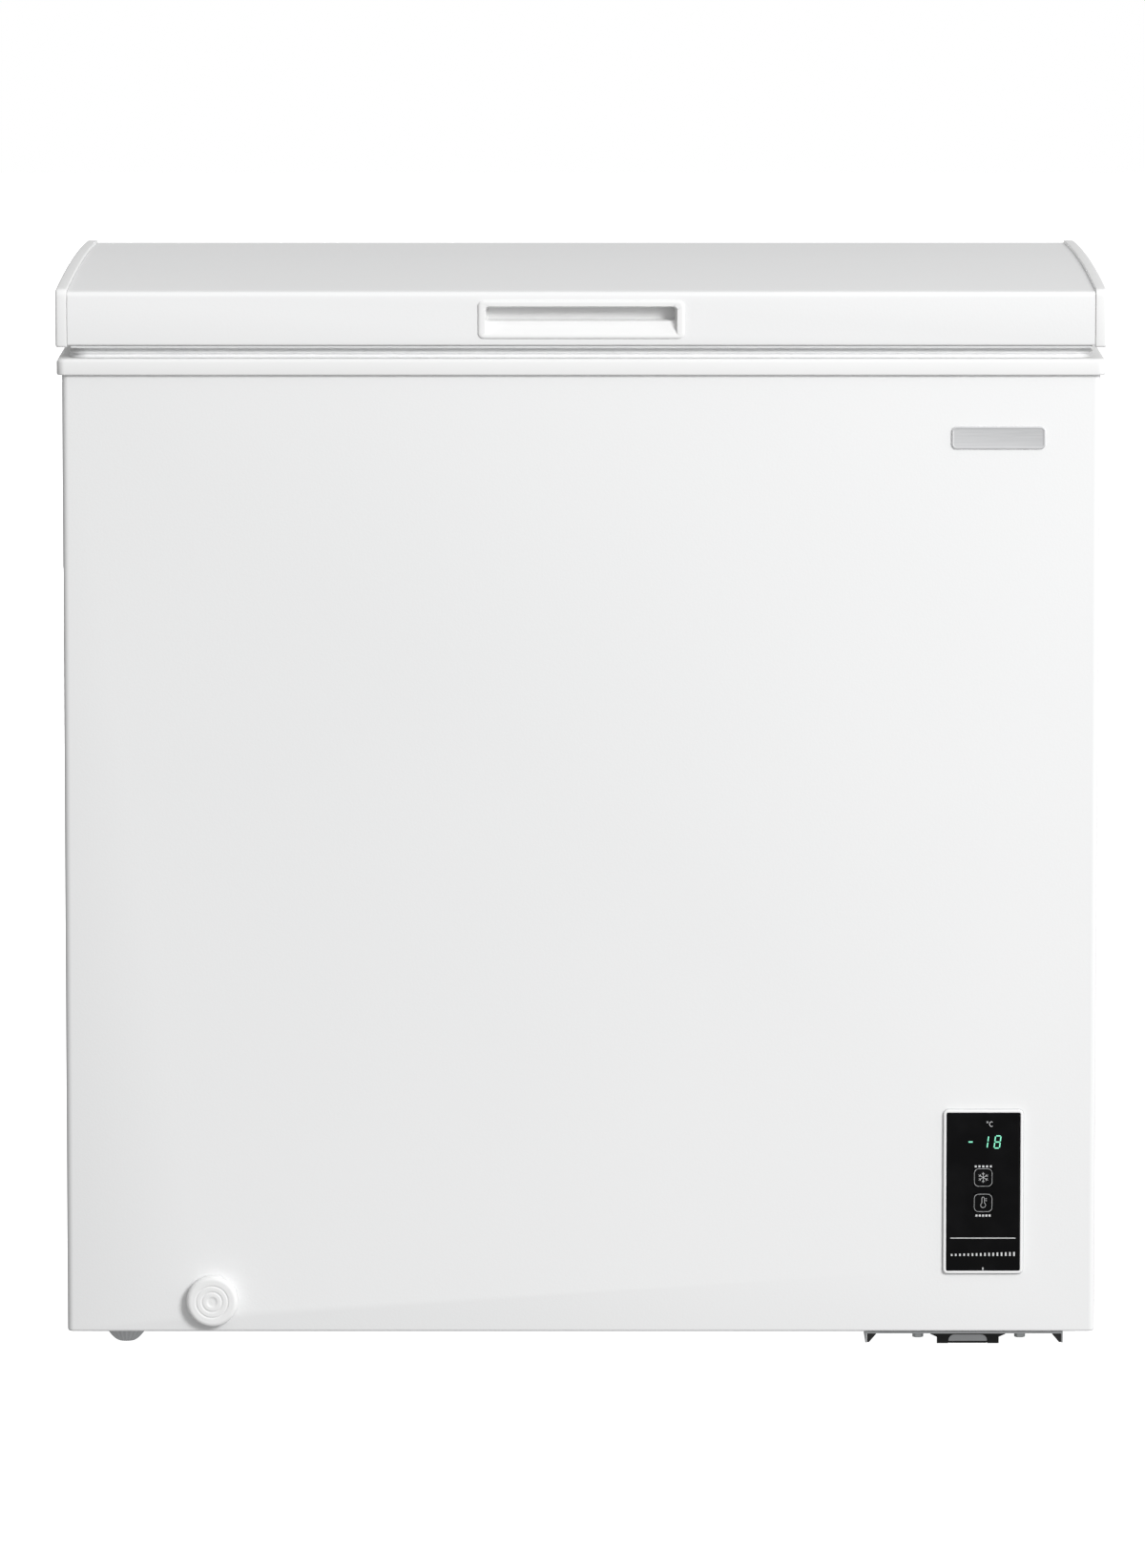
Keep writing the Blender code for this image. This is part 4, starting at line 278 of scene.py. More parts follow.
def coated_wire():
    """Polythene-dipped wire: thick soft coat with small runs along it."""
    paint = Paint("coated_wire", coat_weight=0.2, coat_roughness=0.2)
    runs = paint.noise(160, 3.0)
    paint.set("Base Color", paint.between(runs, (0.84, 0.845, 0.85), (0.90, 0.90, 0.90)))
    paint.set("Roughness", 0.30 + runs * 0.12)
    paint.relief(runs, 0.0003)
    return paint


def galvanised():
    """Hot-dip zinc: flat crystals that each turn the light their own way."""
    paint = Paint("galvanised")
    spangle = paint.node("ShaderNodeSeparateColor", {0: paint.cells(48, "F1", "Color")})
    frost = paint.noise(900, 3.0)
    paint.set("Base Color", paint.between(spangle, (0.50, 0.515, 0.525), (0.68, 0.69, 0.70)))
    paint.set("Metallic", 0.75 + spangle * 0.2)
    paint.set("Roughness", 0.34 + spangle * 0.16 + frost * 0.06)
    paint.relief(frost, 0.00003)
    return paint


def zinc_plate():
    """Bright passivated zinc with drawn lines and a trace of blue and straw."""
    paint = Paint("zinc_plate")
    tint = paint.noise(60, 2.0)
    lines = paint.noise(900, 2.0, place=paint.stretched(0.05, 1.0, 1.0))
    paint.set("Base Color", paint.between(tint, (0.60, 0.60, 0.55), (0.62, 0.66, 0.70)))
    paint.set("Metallic", 0.92 + tint * 0.05)
    paint.set("Roughness", 0.24 + lines * 0.18)
    paint.relief(lines, 0.00003)
    return paint


def spring_steel():
    """Blued spring wire: dark metal, paler where it has rubbed."""
    paint = Paint("spring_steel")
    scale = paint.noise(300, 3.0)
    paint.set("Base Color", paint.between(scale, (0.20, 0.20, 0.22), (0.42, 0.42, 0.43)))
    paint.set("Metallic", 0.95 + scale * 0.05)
    paint.set("Roughness", 0.25 + scale * 0.2)
    paint.relief(scale, 0.00004)
    return paint


def cast_iron():
    """Sand-cast iron: dark, rough, a little metallic."""
    paint = Paint("cast_iron")
    sand = paint.noise(800, 4.0)
    paint.set("Base Color", paint.between(sand, (0.10, 0.10, 0.10), (0.20, 0.19, 0.18)))
    paint.set("Metallic", 0.6 + sand * 0.2)
    paint.set("Roughness", 0.6 + sand * 0.2)
    paint.relief(sand, 0.0002)
    return paint


def black_enamel():
    """Stoved black enamel on a compressor can: glossy, with dust and slight peel."""
    paint = Paint("black_enamel", coat_weight=0.4, coat_roughness=0.15)
    dust = paint.noise(90, 4.0)
    peel = paint.noise(500, 2.0)
    settled = paint.sharpened(dust, 0.5, 0.9)
    paint.set("Base Color", paint.between(settled, (0.012, 0.012, 0.013), (0.05, 0.05, 0.05)))
    paint.set("Roughness", 0.22 + dust * 0.2)
    paint.relief(peel, 0.00008)
    return paint


def copper():
    """Drawn copper tube: pink metal with brown tarnish in blotches."""
    paint = Paint("copper")
    tarnish = paint.sharpened(paint.noise(55, 4.0, 0.6), 0.45, 0.7)
    paint.set("Base Color", paint.between(tarnish, (0.84, 0.46, 0.30), (0.34, 0.17, 0.11)))
    paint.set("Metallic", 1.0 - tarnish * 0.3)
    paint.set("Roughness", 0.26 + tarnish * 0.3)
    paint.relief(tarnish, 0.00002)
    return paint


def coated_tube():
    """Steel tube with a thin dull black film."""
    paint = Paint("coated_tube")
    film = paint.noise(120, 3.0)
    paint.set("Base Color", paint.between(film, (0.20, 0.19, 0.18), (0.34, 0.32, 0.30)))
    paint.set("Metallic", 0.4 + film * 0.3)
    paint.set("Roughness", 0.4 + film * 0.2)
    return paint


def aluminium_tube():
    """Drawn aluminium tube: pale satin metal."""
    paint = Paint("aluminium_tube")
    drawn = paint.noise(700, 2.0)
    paint.set("Base Color", paint.between(drawn, (0.66, 0.67, 0.68), (0.80, 0.80, 0.81)))
    paint.set("Metallic", 0.95 + drawn * 0.05)
    paint.set("Roughness", 0.28 + drawn * 0.15)
    return paint


def bright_plate():
    """Pale satin plating with fine hairs along it."""
    paint = Paint("bright_plate", metallic=0.45)
    hairs = paint.noise(1400, 2.0, place=paint.stretched(0.03, 1.0, 1.0))
    paint.set("Base Color", paint.between(hairs, (0.70, 0.71, 0.72), (0.88, 0.88, 0.89)))
    paint.set("Roughness", 0.10 + hairs * 0.16)
    paint.relief(hairs, 0.00001)
    return paint


def gloss_black():
    """Black acrylic window: a deep gloss with faint handling haze."""
    paint = Paint("gloss_black", coat_weight=0.05, coat_roughness=0.03, specular_ior_level=0.08)
    haze = paint.sharpened(paint.noise(38, 3.0), 0.45, 0.8)
    paint.set("Base Color", paint.between(haze, (0.0035, 0.0035, 0.0038), (0.007, 0.007, 0.0075)))
    paint.set("Roughness", 0.07 + haze * 0.08)
    return paint


def circuit_board():
    """Green solder mask over copper tracks."""
    paint = Paint("circuit_board")
    tracks = paint.node("ShaderNodeTexBrick", {"Vector": paint.place, "Scale": 160.0, "Mortar Size": 0.03},
                        output="Fac")
    paint.set("Base Color", paint.between(tracks, (0.015, 0.16, 0.06), (0.05, 0.30, 0.12)))
    paint.set("Roughness", 0.35 + tracks * 0.1)
    paint.relief(tracks, 0.00004)
    return paint


def grained(name, dark, light, roughness, scale=1500, depth=0.00005):
    """A moulded plastic or rubber: two close tones and a grain of its own size."""
    paint = Paint(name)
    grain = paint.noise(scale, 3.0)
    bloom = paint.noise(30, 3.0)
    paint.set("Base Color", paint.between(bloom, dark, light))
    paint.set("Roughness", roughness + grain * 0.12)
    paint.relief(grain, depth)
    return paint


def foam_cells():
    """Cut polyurethane foam: straw-coloured, full of fine open cells."""
    paint = Paint("foam_cells")
    cells = paint.cells(420)
    paint.set("Base Color", paint.between(paint.noise(25, 3.0), (0.78, 0.66, 0.38), (0.88, 0.78, 0.52)))
    paint.set("Roughness", 0.85 + cells * 0.1)
    paint.relief(cells, 0.0006)
    return paint


def printed_white():
    """Screen-printed white ink, a little thin in places."""
    paint = Paint("printed_white")
    cover = paint.noise(900, 2.0)
    paint.set("Base Color", paint.between(cover, (0.55, 0.56, 0.56), (0.78, 0.79, 0.79)))
    paint.set("Roughness", 0.5 + cover * 0.1)
    return paint


def lit_green():
    """A lit display segment, brightest along its middle."""
    paint = Paint("lit_green", base_color=(0.05, 0.35, 0.22, 1.0), emission_strength=1.0)
    glow = paint.noise(600, 1.0)
    paint.set("Emission Color", paint.between(glow, (0.22, 0.66, 0.44), (0.34, 0.80, 0.60)))
    paint.set("Roughness", 0.4 + glow * 0.05)
    return paint


PAINTS = {
    "white_steel": painted_steel(),
    "white_plastic": white_moulding(),
    "liner_plastic": liner_sheet(),
    "coated_wire": coated_wire(),
    "foam": foam_cells(),
    "galvanised": galvanised(),
    "zinc": zinc_plate(),
    "spring_steel": spring_steel(),
    "motor_iron": cast_iron(),
    "black_paint": black_enamel(),
    "copper": copper(),
    "coated_tube": coated_tube(),
    "aluminium_tube": aluminium_tube(),
    "bright_plate": bright_plate(),
    "gloss_black": gloss_black(),
    "circuit_board": circuit_board(),
    "grey_plastic": grained("grey_moulding", (0.46, 0.47, 0.48), (0.54, 0.55, 0.55), 0.40),
    "black_plastic": grained("black_moulding", (0.012, 0.012, 0.013), (0.030, 0.030, 0.031), 0.42),
    # Grey rubber, its tone raised to lift the shade the feet sit in under the cabinet: partly painted light.
    "grey_rubber": grained("grey_rubber", (0.60, 0.61, 0.62), (0.72, 0.73, 0.74), 0.55, 900, 0.00008),
    "black_rubber": grained("black_rubber", (0.010, 0.010, 0.010), (0.024, 0.024, 0.024), 0.60, 900, 0.0001),
}
INK = printed_white()
GLOW = lit_green()
SEAL = grained("white_seal", (0.84, 0.845, 0.85), (0.90, 0.90, 0.90), 0.45, 900, 0.00004)


# ---------------------------------------------------------------- surfaces as arrays

def woven(points, wrap_rows=False, wrap_columns=False, cap_rows=False):
    """A grid of points joined by quads. A wrapped direction closes on itself, and capped rows are filled."""
    rows, columns = points.shape[:2]
    index = np.arange(rows * columns).reshape(rows, columns)
    ends = [index[0][::-1].tolist(), index[-1].tolist()] if cap_rows else []
    if wrap_rows:
        index = np.vstack([index, index[:1]])
    if wrap_columns:
        index = np.hstack([index, index[:, :1]])
    quads = np.stack([index[:-1, :-1], index[1:, :-1], index[1:, 1:], index[:-1, 1:]], -1)
    return points.reshape(-1, 3), quads.reshape(-1, 4).tolist() + ends


def shape_of(surfaces):
    """One mesh in work from several surfaces, each a list of points and of faces."""
    shape = bmesh.new()
    for points, faces in surfaces:
        corners = [shape.verts.new(p) for p in points.tolist()]
        for face in faces:
            shape.faces.new([corners[i] for i in face])
    return shape


def piece(name, surfaces, body, slot, paint=None, stands_for=(), sharp=40.0):
    """Surfaces joined into one piece. Edges sharper than sharp, in degrees, stay sharp."""
    return dressed(name, shape_of(surfaces), body, slot, paint, stands_for, sharp)


def dressed(name, shape, body, slot, paint, stands_for, sharp):
    """A mesh in work made a piece: doubles merged, faces turned out, its finish, its body and its nodes."""
    mesh = bpy.data.meshes.new(name)
    bmesh.ops.remove_doubles(shape, verts=shape.verts, dist=MERGE)
    bmesh.ops.dissolve_degenerate(shape, edges=shape.edges, dist=MERGE)
    bmesh.ops.recalc_face_normals(shape, faces=shape.faces)
    shape.to_mesh(mesh)
    shape.free()
    mesh.shade_smooth()
    mesh.set_sharp_from_angle(angle=np.radians(sharp))
    made = bpy.data.objects.new(name, mesh)
    bpy.context.scene.collection.objects.link(made)
    mesh.materials.append((paint or PAINTS[slot]).material)
    if body:
        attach(made, body)
    if stands_for:
        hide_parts(*stands_for)
    return made


def finished(node, edge=0.0, sharp=35.0):
    """A merged copy of a CAD node, its flat faces whole and its sharp edges rounded, in place of the node."""
    shape = bmesh.new()
    shape.from_mesh(NODES[node].data)
    bmesh.ops.remove_doubles(shape, verts=shape.verts, dist=MERGE * 5)
    bmesh.ops.dissolve_limit(shape, angle_limit=np.radians(0.5), verts=shape.verts, edges=shape.edges)
    made = dressed(f"{node}_finish", shape, BODY_OF[node], SLOT_OF[node], None, (node,), sharp)
    if edge:
        soften(made, edge, sharp)
    return made


def soften(made, width, degrees=35.0, segments=2):
    """Rounded edges, with the flat faces still shaded flat."""
    bevel = made.modifiers.new("edge", "BEVEL")
    bevel.width = width
    bevel.segments = segments
    bevel.limit_method = "ANGLE"
    bevel.angle_limit = np.radians(degrees)
    bevel.use_clamp_overlap = True
    bevel.harden_normals = True


def worked(made, operation, *solids):
    """The piece with other solids joined to it or taken out of it; they are then thrown away."""
    for solid in solids:
        step = made.modifiers.new("work", "BOOLEAN")
        step.operation = operation
        step.solver = "EXACT"
        step.object = solid
    bpy.context.view_layer.update()
    seen = made.evaluated_get(bpy.context.evaluated_depsgraph_get())
    old, made.data = made.data, bpy.data.meshes.new_from_object(seen)
    made.modifiers.clear()
    bpy.data.meshes.remove(old)
    for solid in solids:
        bpy.data.objects.remove(solid, do_unlink=True)


def carved(made, *solids):
    """The piece with the solids taken out of it."""
    worked(made, "DIFFERENCE", *solids)
    made.data.shade_smooth()
    made.data.set_sharp_from_angle(angle=np.radians(30.0))
    return made


def solid_of(surface):
    """A closed solid to carve or join with."""
    shape = shape_of([surface])
    bmesh.ops.recalc_face_normals(shape, faces=shape.faces)
    mesh = bpy.data.meshes.new("solid")
    shape.to_mesh(mesh)
    shape.free()
    made = bpy.data.objects.new("solid", mesh)
    bpy.context.scene.collection.objects.link(made)
    return made


def extent(node):
    """A node's lowest and highest corners, its middle and half its size."""
    low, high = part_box(node)
    return low, high, (low + high) / 2, (high - low) / 2


def arc(radius, start, end, count):
    """Points on a circle about the origin, between two angles in degrees."""
    turn = np.radians(np.linspace(start, end, count))
    return radius * np.stack([np.cos(turn), np.sin(turn)], -1)


def loop(half_x, half_y, radius, count=8):
    """A rectangle with round corners, seen as four quarter circles joined by straight lines.
    The halves and the radius may be arrays, which gives one loop for each value."""
    half_x, half_y, radius = (np.atleast_1d(np.asarray(v, float)) for v in (half_x, half_y, radius))
    half_x, half_y, radius = np.broadcast_arrays(half_x, half_y, radius)
    turn = np.linspace(0, np.pi / 2, count)
    angle = (np.arange(4)[:, None] * np.pi / 2 + turn).ravel()
    side = np.repeat(np.array([[1, 1], [-1, 1], [-1, -1], [1, -1]], float), count, 0)
    middle = np.stack([side[:, 0] * (half_x - radius)[:, None], side[:, 1] * (half_y - radius)[:, None]], -1)
    bend = np.stack([np.cos(angle), np.sin(angle)], -1)
    return middle + radius[:, None, None] * bend


def banded(centre, half_x, half_y, profile, count=8):
    """A closed section carried round a rounded rectangle. Each point of the section is
    (distance outside the rectangle, height, corner radius)."""
    profile = np.asarray(profile, float)
    path = loop(half_x + profile[:, 0], half_y + profile[:, 0], profile[:, 2], count) + np.asarray(centre)[:2]
    height = np.broadcast_to(profile[:, 1, None, None], (*path.shape[:2], 1))
    return woven(np.concatenate([path, height], -1), wrap_rows=True, wrap_columns=True)


def inset(outline, amount):
    """A closed outline moved inwards by an amount, along the line that halves each corner."""
    ahead = np.roll(outline, -1, 0) - outline
    ahead /= np.linalg.norm(ahead, axis=1, keepdims=True)
    behind = np.roll(ahead, 1, 0)
    normal = np.stack([-(ahead + behind)[:, 1], (ahead + behind)[:, 0]], -1)
    normal /= np.linalg.norm(normal, axis=1, keepdims=True)
    lean = np.abs(np.einsum("ij,ij->i", normal, np.stack([-ahead[:, 1], ahead[:, 0]], -1)))
    return outline + normal * (amount / np.maximum(lean, 0.5))[:, None]


def border(grid):
    """The points round the edge of a grid, once round."""
    return np.concatenate([grid[:, 0], grid[-1, 1:], grid[::-1, -1][1:], grid[0, ::-1][1:-1]])


def ringed(outline, rows, axis="Y", **closing):
    """A flat outline repeated: moved in by each row's amount, at each row's depth along an axis."""
    flat = np.stack([inset(outline, amount) for amount, _ in rows])
    depth = np.broadcast_to(np.array([d for _, d in rows])[:, None], flat.shape[:2])
    columns = {"X": (depth, flat[..., 0], flat[..., 1]), "Y": (flat[..., 0], depth, flat[..., 1]),
               "Z": (flat[..., 0], flat[..., 1], depth)}[axis]
    return woven(np.stack(columns, -1), wrap_columns=True, **closing)


def slab(outline, low, high, axis, low_edge=0.0, high_edge=0.0, steps=4):
    """A flat outline, counter-clockwise, thick along an axis, with its two rims rounded by their own radii:
    each ring of the rim is the outline moved in by r(1 - sin) and back by r(1 - cos)."""
    rows = []
    for edge, end, way in ((low_edge, low, 1), (high_edge, high, -1)):
        turn = np.linspace(0, np.pi / 2, steps) if edge else np.array([np.pi / 2])
        rim = [(edge * (1 - np.sin(t)), end + way * edge * (1 - np.cos(t))) for t in turn]
        rows += rim if way == 1 else rim[::-1]
    return ringed(outline, rows, axis, cap_rows=True)


def turned(centre, profile, axis="Z", steps=48, ribs=0, rib_depth=0.0):
    """A section of (radius, height) turned about an axis, with optional ribs: the radius grows by the
    rib depth times the positive part of a cosine. Sections start and end on the axis."""
    profile = np.asarray(profile, float)
    turn = np.linspace(0, 2 * np.pi, steps, endpoint=False)
    swell = rib_depth * np.cos(ribs * turn)[None, :] * (profile[:, :1] > rib_depth * 4)
    radius = profile[:, :1] + swell
    along = np.broadcast_to(profile[:, 1:], radius.shape)
    across, up = radius * np.cos(turn), radius * np.sin(turn)
    columns = {"X": (along, across, up), "Y": (across, along, up), "Z": (across, up, along)}[axis]
    return woven(np.stack(columns, -1) + np.asarray(centre), wrap_columns=True)


def heading(path, closed):
    """The direction of a path at each of its points."""
    ahead = np.roll(path, -1, 0) - np.roll(path, 1, 0) if closed else np.gradient(path, axis=0)
    return ahead / np.linalg.norm(ahead, axis=1, keepdims=True)


def wire(path, radius, across, sides=8, closed=False):
    """A round bar: at each point of its path a circle, square to the path."""
    path = np.asarray(path, float)
    ahead = heading(path, closed)
    side = np.cross(ahead, np.asarray(across, float))
    side /= np.linalg.norm(side, axis=1, keepdims=True)
    other = np.cross(side, ahead)
    turn = np.linspace(0, 2 * np.pi, sides, endpoint=False)[None, :, None]
    ring = path[:, None] + radius * (np.cos(turn) * side[:, None] + np.sin(turn) * other[:, None])
    return woven(ring, wrap_rows=closed, wrap_columns=True, cap_rows=not closed)


def ribbon(path, width, plane, front, back, closed=False):
    """A flat line of print: a rectangular section along a path of (x, z), from one depth to another."""
    path = np.asarray(path, float)
    ahead = heading(path, closed)
    side = np.stack([-ahead[:, 1], ahead[:, 0]], -1) * width / 2
    left, right = path + side, path - side
    section = [(left, front), (right, front), (right, back), (left, back)]
    ring = np.stack([np.stack([p[:, 0], np.full(len(p), plane + d), p[:, 1]], -1) for p, d in section], 1)
    return woven(ring, wrap_rows=closed, wrap_columns=True, cap_rows=not closed)


def eased(corners, bend, steps=5):
    """A route through corners, each rounded by a curve that starts and ends a bend away from it."""
    corners = [np.asarray(c, float) for c in corners]
    route = [corners[0]]
    for before, corner, after in zip(corners, corners[1:], corners[2:]):
        start = corner + (before - corner) / np.linalg.norm(before - corner) * bend
        end = corner + (after - corner) / np.linalg.norm(after - corner) * bend
        for share in np.linspace(0, 1, steps):
            route.append((1 - share) ** 2 * start + 2 * share * (1 - share) * corner + share ** 2 * end)
    route.append(corners[-1])
    return np.array(route)


def smooth(value, low, high):
    """0 below low, 1 above high, and a cubic ease between."""
    share = np.clip((value - low) / (high - low), 0, 1)
    return share * share * (3 - 2 * share)


# ---------------------------------------------------------------- cabinet

def cabinet_wrap():
    """The painted sheet round the front and sides: a U-shaped run of loops, from the top to a rolled hem, with
    the same run a sheet's thickness inside it, opened for the control panel and the drain."""
    low, high, middle, half = extent("outer_shell")
    hem_width, fold_in, corner_radius, least_radius = 0.018, FOLD_RADIUS - SHEET, 0.005, 0.0004
    hem = arc(FOLD_RADIUS, 0, -90, 5) + [-FOLD_RADIUS, low.z + FOLD_RADIUS]
    inner = arc(fold_in, -90, 0, 5) + [-FOLD_RADIUS, low.z + FOLD_RADIUS]
    section = np.array([(0, high.z), *hem, (-hem_width, low.z), (-hem_width, low.z + SHEET), *inner,
                        (-SHEET, high.z)])
    rings = loop(half.x + section[:, 0], half.y + section[:, 0],
                 np.maximum(corner_radius + section[:, 0], least_radius), 7)
    corner = rings.reshape(len(section), 4, 7, 2)
    lip = np.full(len(section), half.x - SHELL_LIP)
    back = half.y + section[:, 0]
    run = [corner[:, i, ::-1] for i in (0, 3, 2, 1)]
    path = np.concatenate([np.stack([lip, back], -1)[:, None], *run, np.stack([-lip, back], -1)[:, None]], 1)
    path = path + [middle.x, middle.y]
    height = np.broadcast_to(section[:, 1, None, None], (*path.shape[:2], 1))
    grid = np.concatenate([path, height], -1).transpose(1, 0, 2)
    wrap = piece("cabinet_wrap", [woven(grid, wrap_columns=True, cap_rows=True)], "cabinet", "white_steel",
                 stands_for=("outer_shell",))
    _, _, window, window_half = extent("control_window")
    pipe_low, _, pipe, pipe_half = extent("drain_pipe")
    reach, room = 0.01, 0.0003
    panel = loop(window_half.x, window_half.z, 0.001, 3)[0] + [window.x, window.z]
    radius = pipe_half.x + room
    drain = arc(radius, 0, 360, 33)[:-1] + [pipe.x, pipe_low.z + radius]
    return carved(wrap, *(solid_of(slab(hole, low.y - reach, low.y + reach, "Y")) for hole in (panel, drain)))


def collar_frame():
    """The moulded frame round the opening: a nosed outer lip, a flat top, and a rebate inside it."""
    low, high, middle, half = extent("top_collar")
    liner_half = extent("inner_liner")[3]
    sheet, ledge, drop, nose, edge, hem = 0.002, 0.008, 0.0085, 0.0028, 0.0015, 0.0012
    room_radius, out_radius = 0.012, 0.0065
    half_x, half_y = liner_half.x - sheet, liner_half.y - sheet
    out = half.x - half_x
    top, base = high.z, low.z
    ledge_radius = room_radius + ledge
    lip = [(out - nose + x, top - nose + z, out_radius) for x, z in arc(nose, 90, 0, 6)]
    foot = [(out - hem + x, base + hem + z, out_radius) for x, z in arc(hem, 0, -90, 4)]
    inner = [(0.0, base, room_radius), (0.0, top - drop - edge, room_radius),
             (edge / 3, top - drop - edge / 3, room_radius), (edge, top - drop, room_radius)]
    rebate = [(ledge, top - drop, ledge_radius), (ledge, top - edge, ledge_radius),
              (ledge + edge / 3, top - edge / 3, ledge_radius), (ledge + edge, top, ledge_radius)]
    band = banded(middle, half_x, half_y, [*inner, *rebate, *lip, *foot], 10)
    return piece("collar_frame", [band], "cabinet", "white_plastic", stands_for=("top_collar",), sharp=50)


def tub(half_x, half_y, low, high, centre, fillet, radius):
    """A closed block with round upright corners and a bowl-shaped edge round its floor: loops that move in
    by f(1 - cos) while they go down by f sin."""
    turn = np.linspace(0, np.pi / 2, 7)
    moved = np.concatenate([[0.0], fillet * (1 - np.cos(turn))])
    height = np.concatenate([[high], low + fillet * (1 - np.sin(turn))])
    path = loop(half_x - moved, half_y - moved, np.maximum(radius - moved * 0.6, 0.004), 9) + centre
    grid = np.concatenate([path, np.broadcast_to(height[:, None, None], (*path.shape[:2], 1))], -1)
    return woven(grid, wrap_columns=True, cap_rows=True)


def liner_tub():
    """The formed inner tub: a room above the step and a well beside it, joined, opened at the top and given
    its thickness outwards."""
    low, high, middle, half = extent("inner_liner")
    sheet, fillet, radius, above, overlap = 0.0019, 0.014, 0.012, 0.02, 0.1
    half_x, half_y = half.x - sheet, half.y - sheet
    points = np.array([v.co for v in NODES["inner_liner"].data.vertices])
    step_z = np.round(points[(points[:, 0] > 0.2) & (points[:, 2] < 0.5), 2], 4).max()
    step_x = np.round(points[points[:, 2] < 0.2, 0], 4).max() - sheet
    left = middle.x - half_x
    room = tub(half_x, half_y, step_z, high.z + above, np.array(middle[:2]), fillet, radius)
    well = tub((step_x - left) / 2, half_y, low.z + sheet, step_z + overlap,
               np.array([(left + step_x) / 2, middle.y]), fillet, radius)
    formed = piece("liner_tub", [room], "cabinet", "liner_plastic", stands_for=("inner_liner",))
    worked(formed, "UNION", solid_of(well))
    mesh = formed.data
    shape = bmesh.new()
    shape.from_mesh(mesh)
    top = [f for f in shape.faces if f.normal.z > 0.9 and f.calc_center_median().z > high.z]
    bmesh.ops.delete(shape, geom=top, context="FACES")
    bmesh.ops.bisect_plane(shape, geom=[*shape.verts, *shape.edges, *shape.faces], dist=0.00001,
                           plane_co=(0, 0, high.z), plane_no=(0, 0, 1), clear_outer=True)
    shape.to_mesh(mesh)
    shape.free()
    mesh.shade_smooth()
    mesh.set_sharp_from_angle(angle=np.radians(38.0))
    edge = formed.modifiers.new("edge", "BEVEL")
    edge.width = 0.004
    edge.segments = 3
    edge.limit_method = "ANGLE"
    edge.angle_limit = np.radians(45)
    thicken(formed, sheet, 1.0)
    return formed


# ---------------------------------------------------------------- lid

def thicken(made, thickness, offset):
    """A wall on one side of an open surface: outwards at offset 1, inwards at -1."""
    wall = made.modifiers.new("wall", "SOLIDIFY")
    wall.thickness = thickness
    wall.offset = offset


def lid_section(half, top, crown, edge):
    """The lid's section in Y and Z: round the front edge, over a shallow dome and round the rear edge. The
    dome rises by crown times one less the square of the share of the way out from the middle."""
    front = arc(edge, 180, 90, 6) + [-half + edge, top - edge]
    span = half - edge
    y = np.linspace(-span, span, 25)[1:-1]
    dome = np.stack([y, top + crown * (1 - (y / span) ** 2)], -1)
    return np.concatenate([front, dome, front[::-1] * [-1, 1]])


def lid_sheet():
    """The lid's painted skin: a thin section with rolled hems, straight along X, opened for the handle."""
    low, high, middle, half = extent("lid_skin")
    hem, roll, rim, rim_radius = 0.012, 0.0018, 0.003, 0.003
    top = high.z - CROWN
    outer = lid_section(half.y, top, CROWN, SKIN_EDGE_RADIUS)
    inner = lid_section(half.y - SHEET, top - SHEET, CROWN, SKIN_EDGE_RADIUS - SHEET)
    runs = []
    for line, radius, foot in ((outer, roll, low.z), (inner, roll - SHEET, low.z + SHEET)):
        front = arc(radius, -90, -180, 5) + [-half.y + roll, low.z + roll]
        runs.append(np.concatenate([[(-half.y + hem, foot)], front, line, front[::-1] * [-1, 1],
                                    [(half.y - hem, foot)]]))
    section = np.concatenate([runs[0], runs[1][::-1]]) + [middle.y, 0]
    grid = np.stack([np.column_stack([np.full(len(section), x), section]) for x in (low.x, high.x)])
    skin = piece("lid_sheet", [woven(grid, wrap_columns=True, cap_rows=True)], "lid", "white_steel",
                 stands_for=("lid_skin",), sharp=30)
    _, _, grip, grip_half = extent("lid_handle")
    hole = loop(grip_half.x - rim, grip_half.z - rim, rim_radius, 5)[0] + [0, grip.z]
    return carved(skin, solid_of(slab(hole, low.y - 0.005, low.y + 0.01, "Y")))


def lid_ends():
    """A moulded cap at each end of the lid, following its section, a little proud, with rounded rims."""
    edge, foot_radius, outer_rim, inner_rim = 0.006, 0.002, 0.0020, 0.0009
    for side in ("left", "right"):
        node = f"lid_end_cap_{side}"
        low, high, middle, half = extent(node)
        section = lid_section(half.y, high.z - CROWN, CROWN, edge)
        foot = arc(foot_radius, 270, 180, 4) + [-half.y + foot_radius, low.z + foot_radius]
        outline = np.concatenate([foot, section, foot[::-1] * [-1, 1]])[::-1] + [middle.y, 0]
        rims = (outer_rim, inner_rim) if side == "left" else (inner_rim, outer_rim)
        cap = slab(outline, low.x, high.x, "X", *rims, 5)
        piece(f"lid_cap_{side}", [cap], "lid", "white_plastic", stands_for=(node,), sharp=50)


